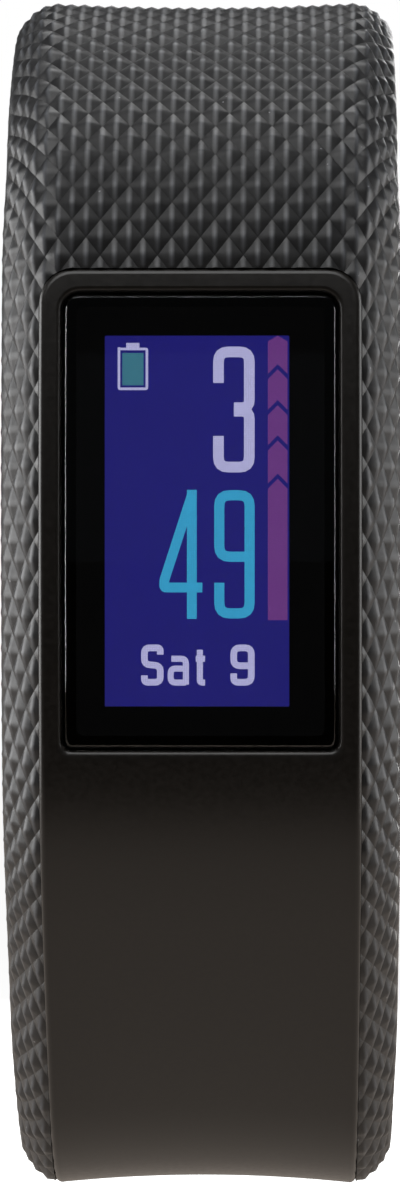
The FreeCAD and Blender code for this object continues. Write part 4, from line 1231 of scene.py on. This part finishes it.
def buckle_tongue():
    rounded = 10.45 - 0.85 * np.cos(np.linspace(0.2, math.pi / 2, 7))
    places = np.concatenate([np.linspace(0, 9.6, 25), rounded])
    low = np.interp(places, [0, 1.6, 5.6, 10.1, 10.45], [-0.6, -0.2, 0.70, 0.70, 0.95])
    high = np.interp(places, [0, 2.0, 5.0, 9.6, 10.45], [1.3, 1.3, 1.65, 1.60, 1.25])
    half = np.interp(places, [0, 9.4, 10.1, 10.45], [1.0, 0.95, 0.75, 0.45])
    rings = []
    for along, a, b, w in zip(places, low, high, half):
        r = min(0.28, (b - a) * 0.45, w * 0.6)
        flat = rounded_outline(w, a, b, [r] * 4, per_corner=5, per_side=(1, 1))
        rings.append([bar_point(x, along, out) for x, out in flat])
    finger = ring_solid("tongue", rings, BUCKLE, sharp=60)
    hub = []
    for x, radius in ((-1.0, 1.15), (-0.92, 1.28), (-0.78, 1.35), (0.78, 1.35), (0.92, 1.28), (1.0, 1.15)):
        turns = np.linspace(0, 2 * math.pi, 41)[:-1]
        hub.append([bar_point(x, radius * math.cos(a), radius * math.sin(a)) for a in turns])
    cut(finger, ring_solid("tongue_barrel", hub, BUCKLE), "UNION")
    return cut(finger, rods("tongue_bore", [tuple(BAR_MIDDLE)], [(1, 0, 0)], 0.0008, 0.01))


for piece, node, body in (
    (buckle_frame(), "buckle_frame", "buckle"), (buckle_tongue(), "buckle_tongue", "tongue"),
):
    sharp_edges(piece, 50)
    shown(piece, "buckle_steel", node, body)

# %% [markdown]
# ## Finishes for the parts that stay as they are in the CAD
#
# Everything inside keeps its CAD shape and gets the finish of its own material.

# %% Dress the CAD nodes
def dress(nodes, material):
    for name in nodes:
        node = bpy.data.objects[name]
        node.data.materials.clear()
        node.data.materials.append(material)
        dressed.append(name)


def inner(nodes, name, base, rough, size, darker, lighter, metal=0.0, **more):
    """A new finish for these nodes. A colour is three numbers, or one for a grey."""
    base, darker, lighter = (c if isinstance(c, tuple) else (c,) * 3 for c in (base, darker, lighter))
    dress(nodes, grain(finish(name, base, rough, metal), size, (darker, lighter), **more))


dressed = []
dress(["touch_sensor"], grain(
    finish("touch_film", (0.97, 0.97, 0.98), 0.02, Transmission_Weight=1.0, IOR=1.49),
    0.003, ((0.96, 0.96, 0.97), (0.98, 0.98, 0.99)), rough=(0.004, 0.015),
))
dress(["shield_can", "vibration_motor_can", "rear_cover_screws"], STEEL)
dress(["spring_bar_tube", "spring_bar_spring", "spring_bar_pin_left", "spring_bar_pin_right"], STEEL)
dress(["rear_cover"], COVER)
dress(["sensor_window"], WINDOW)
dress(["charging_contacts"], GOLD)
inner(["display_panel"], "display_stack", (0.02, 0.02, 0.025), 0.3,
      0.0003, (0.016, 0.016, 0.02), (0.026, 0.026, 0.03))
inner(["lens_adhesive", "housing_adhesive"], "adhesive", 0.02, 0.6, 0.0003, 0.015, 0.03)
inner(["display_backlight"], "backlight", (0.8, 0.8, 0.78), 0.5,
      0.001, (0.76, 0.76, 0.74), (0.84, 0.84, 0.82))
inner(["display_holder", "mid_frame", "chassis_tub", "sensor_baffle"], "inner_plastic", (0.05, 0.05, 0.055), 0.5,
      0.0004, (0.042, 0.042, 0.046), (0.06, 0.06, 0.065), bump=0.00001)
inner(["display_flex", "battery_lead", "antenna"], "flex_ribbon", (0.45, 0.2, 0.03), 0.35,
      0.0005, (0.38, 0.16, 0.025), (0.52, 0.24, 0.04), stretch=(8, 1, 1))
inner(["main_board", "sensor_board"], "circuit_board", (0.01, 0.06, 0.03), 0.4,
      0.0006, (0.008, 0.05, 0.025), (0.014, 0.075, 0.038), detail=8)
inner(["board_chips"], "chip_plastic", 0.02, 0.55, 0.0002, 0.015, 0.028)
inner(["flex_connectors"], "connector_plastic", (0.6, 0.58, 0.5), 0.5,
      0.0003, (0.55, 0.53, 0.46), (0.65, 0.63, 0.55))
inner(["motor_rotor"], "rotor_weight", (0.35, 0.34, 0.33), 0.4,
      0.0003, (0.3, 0.29, 0.28), (0.4, 0.39, 0.38), metal=1.0)
inner(["battery"], "battery_foil", (0.6, 0.61, 0.63), 0.35,
      0.0012, (0.52, 0.53, 0.55), (0.68, 0.69, 0.71), metal=1.0, bump=0.00003)
inner(["rear_cover_seal"], "seal_rubber", 0.03, 0.7, 0.0003, 0.024, 0.04)
inner(["sensor_leds"], "led_resin", (0.7, 0.78, 0.6), 0.2, 0.0003, (0.62, 0.72, 0.5), (0.78, 0.84, 0.7))
inner(["sensor_photodiode"], "photodiode_face", (0.03, 0.04, 0.09), 0.15,
      0.0004, (0.02, 0.03, 0.07), (0.04, 0.05, 0.11))
inner(["vent_membrane"], "vent_film", (0.75, 0.75, 0.74), 0.8,
      0.0001, (0.7, 0.7, 0.69), (0.8, 0.8, 0.79), bump=0.00001)
print("CAD nodes dressed", len(dressed), "of", len(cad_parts), "and the rest are remade above")
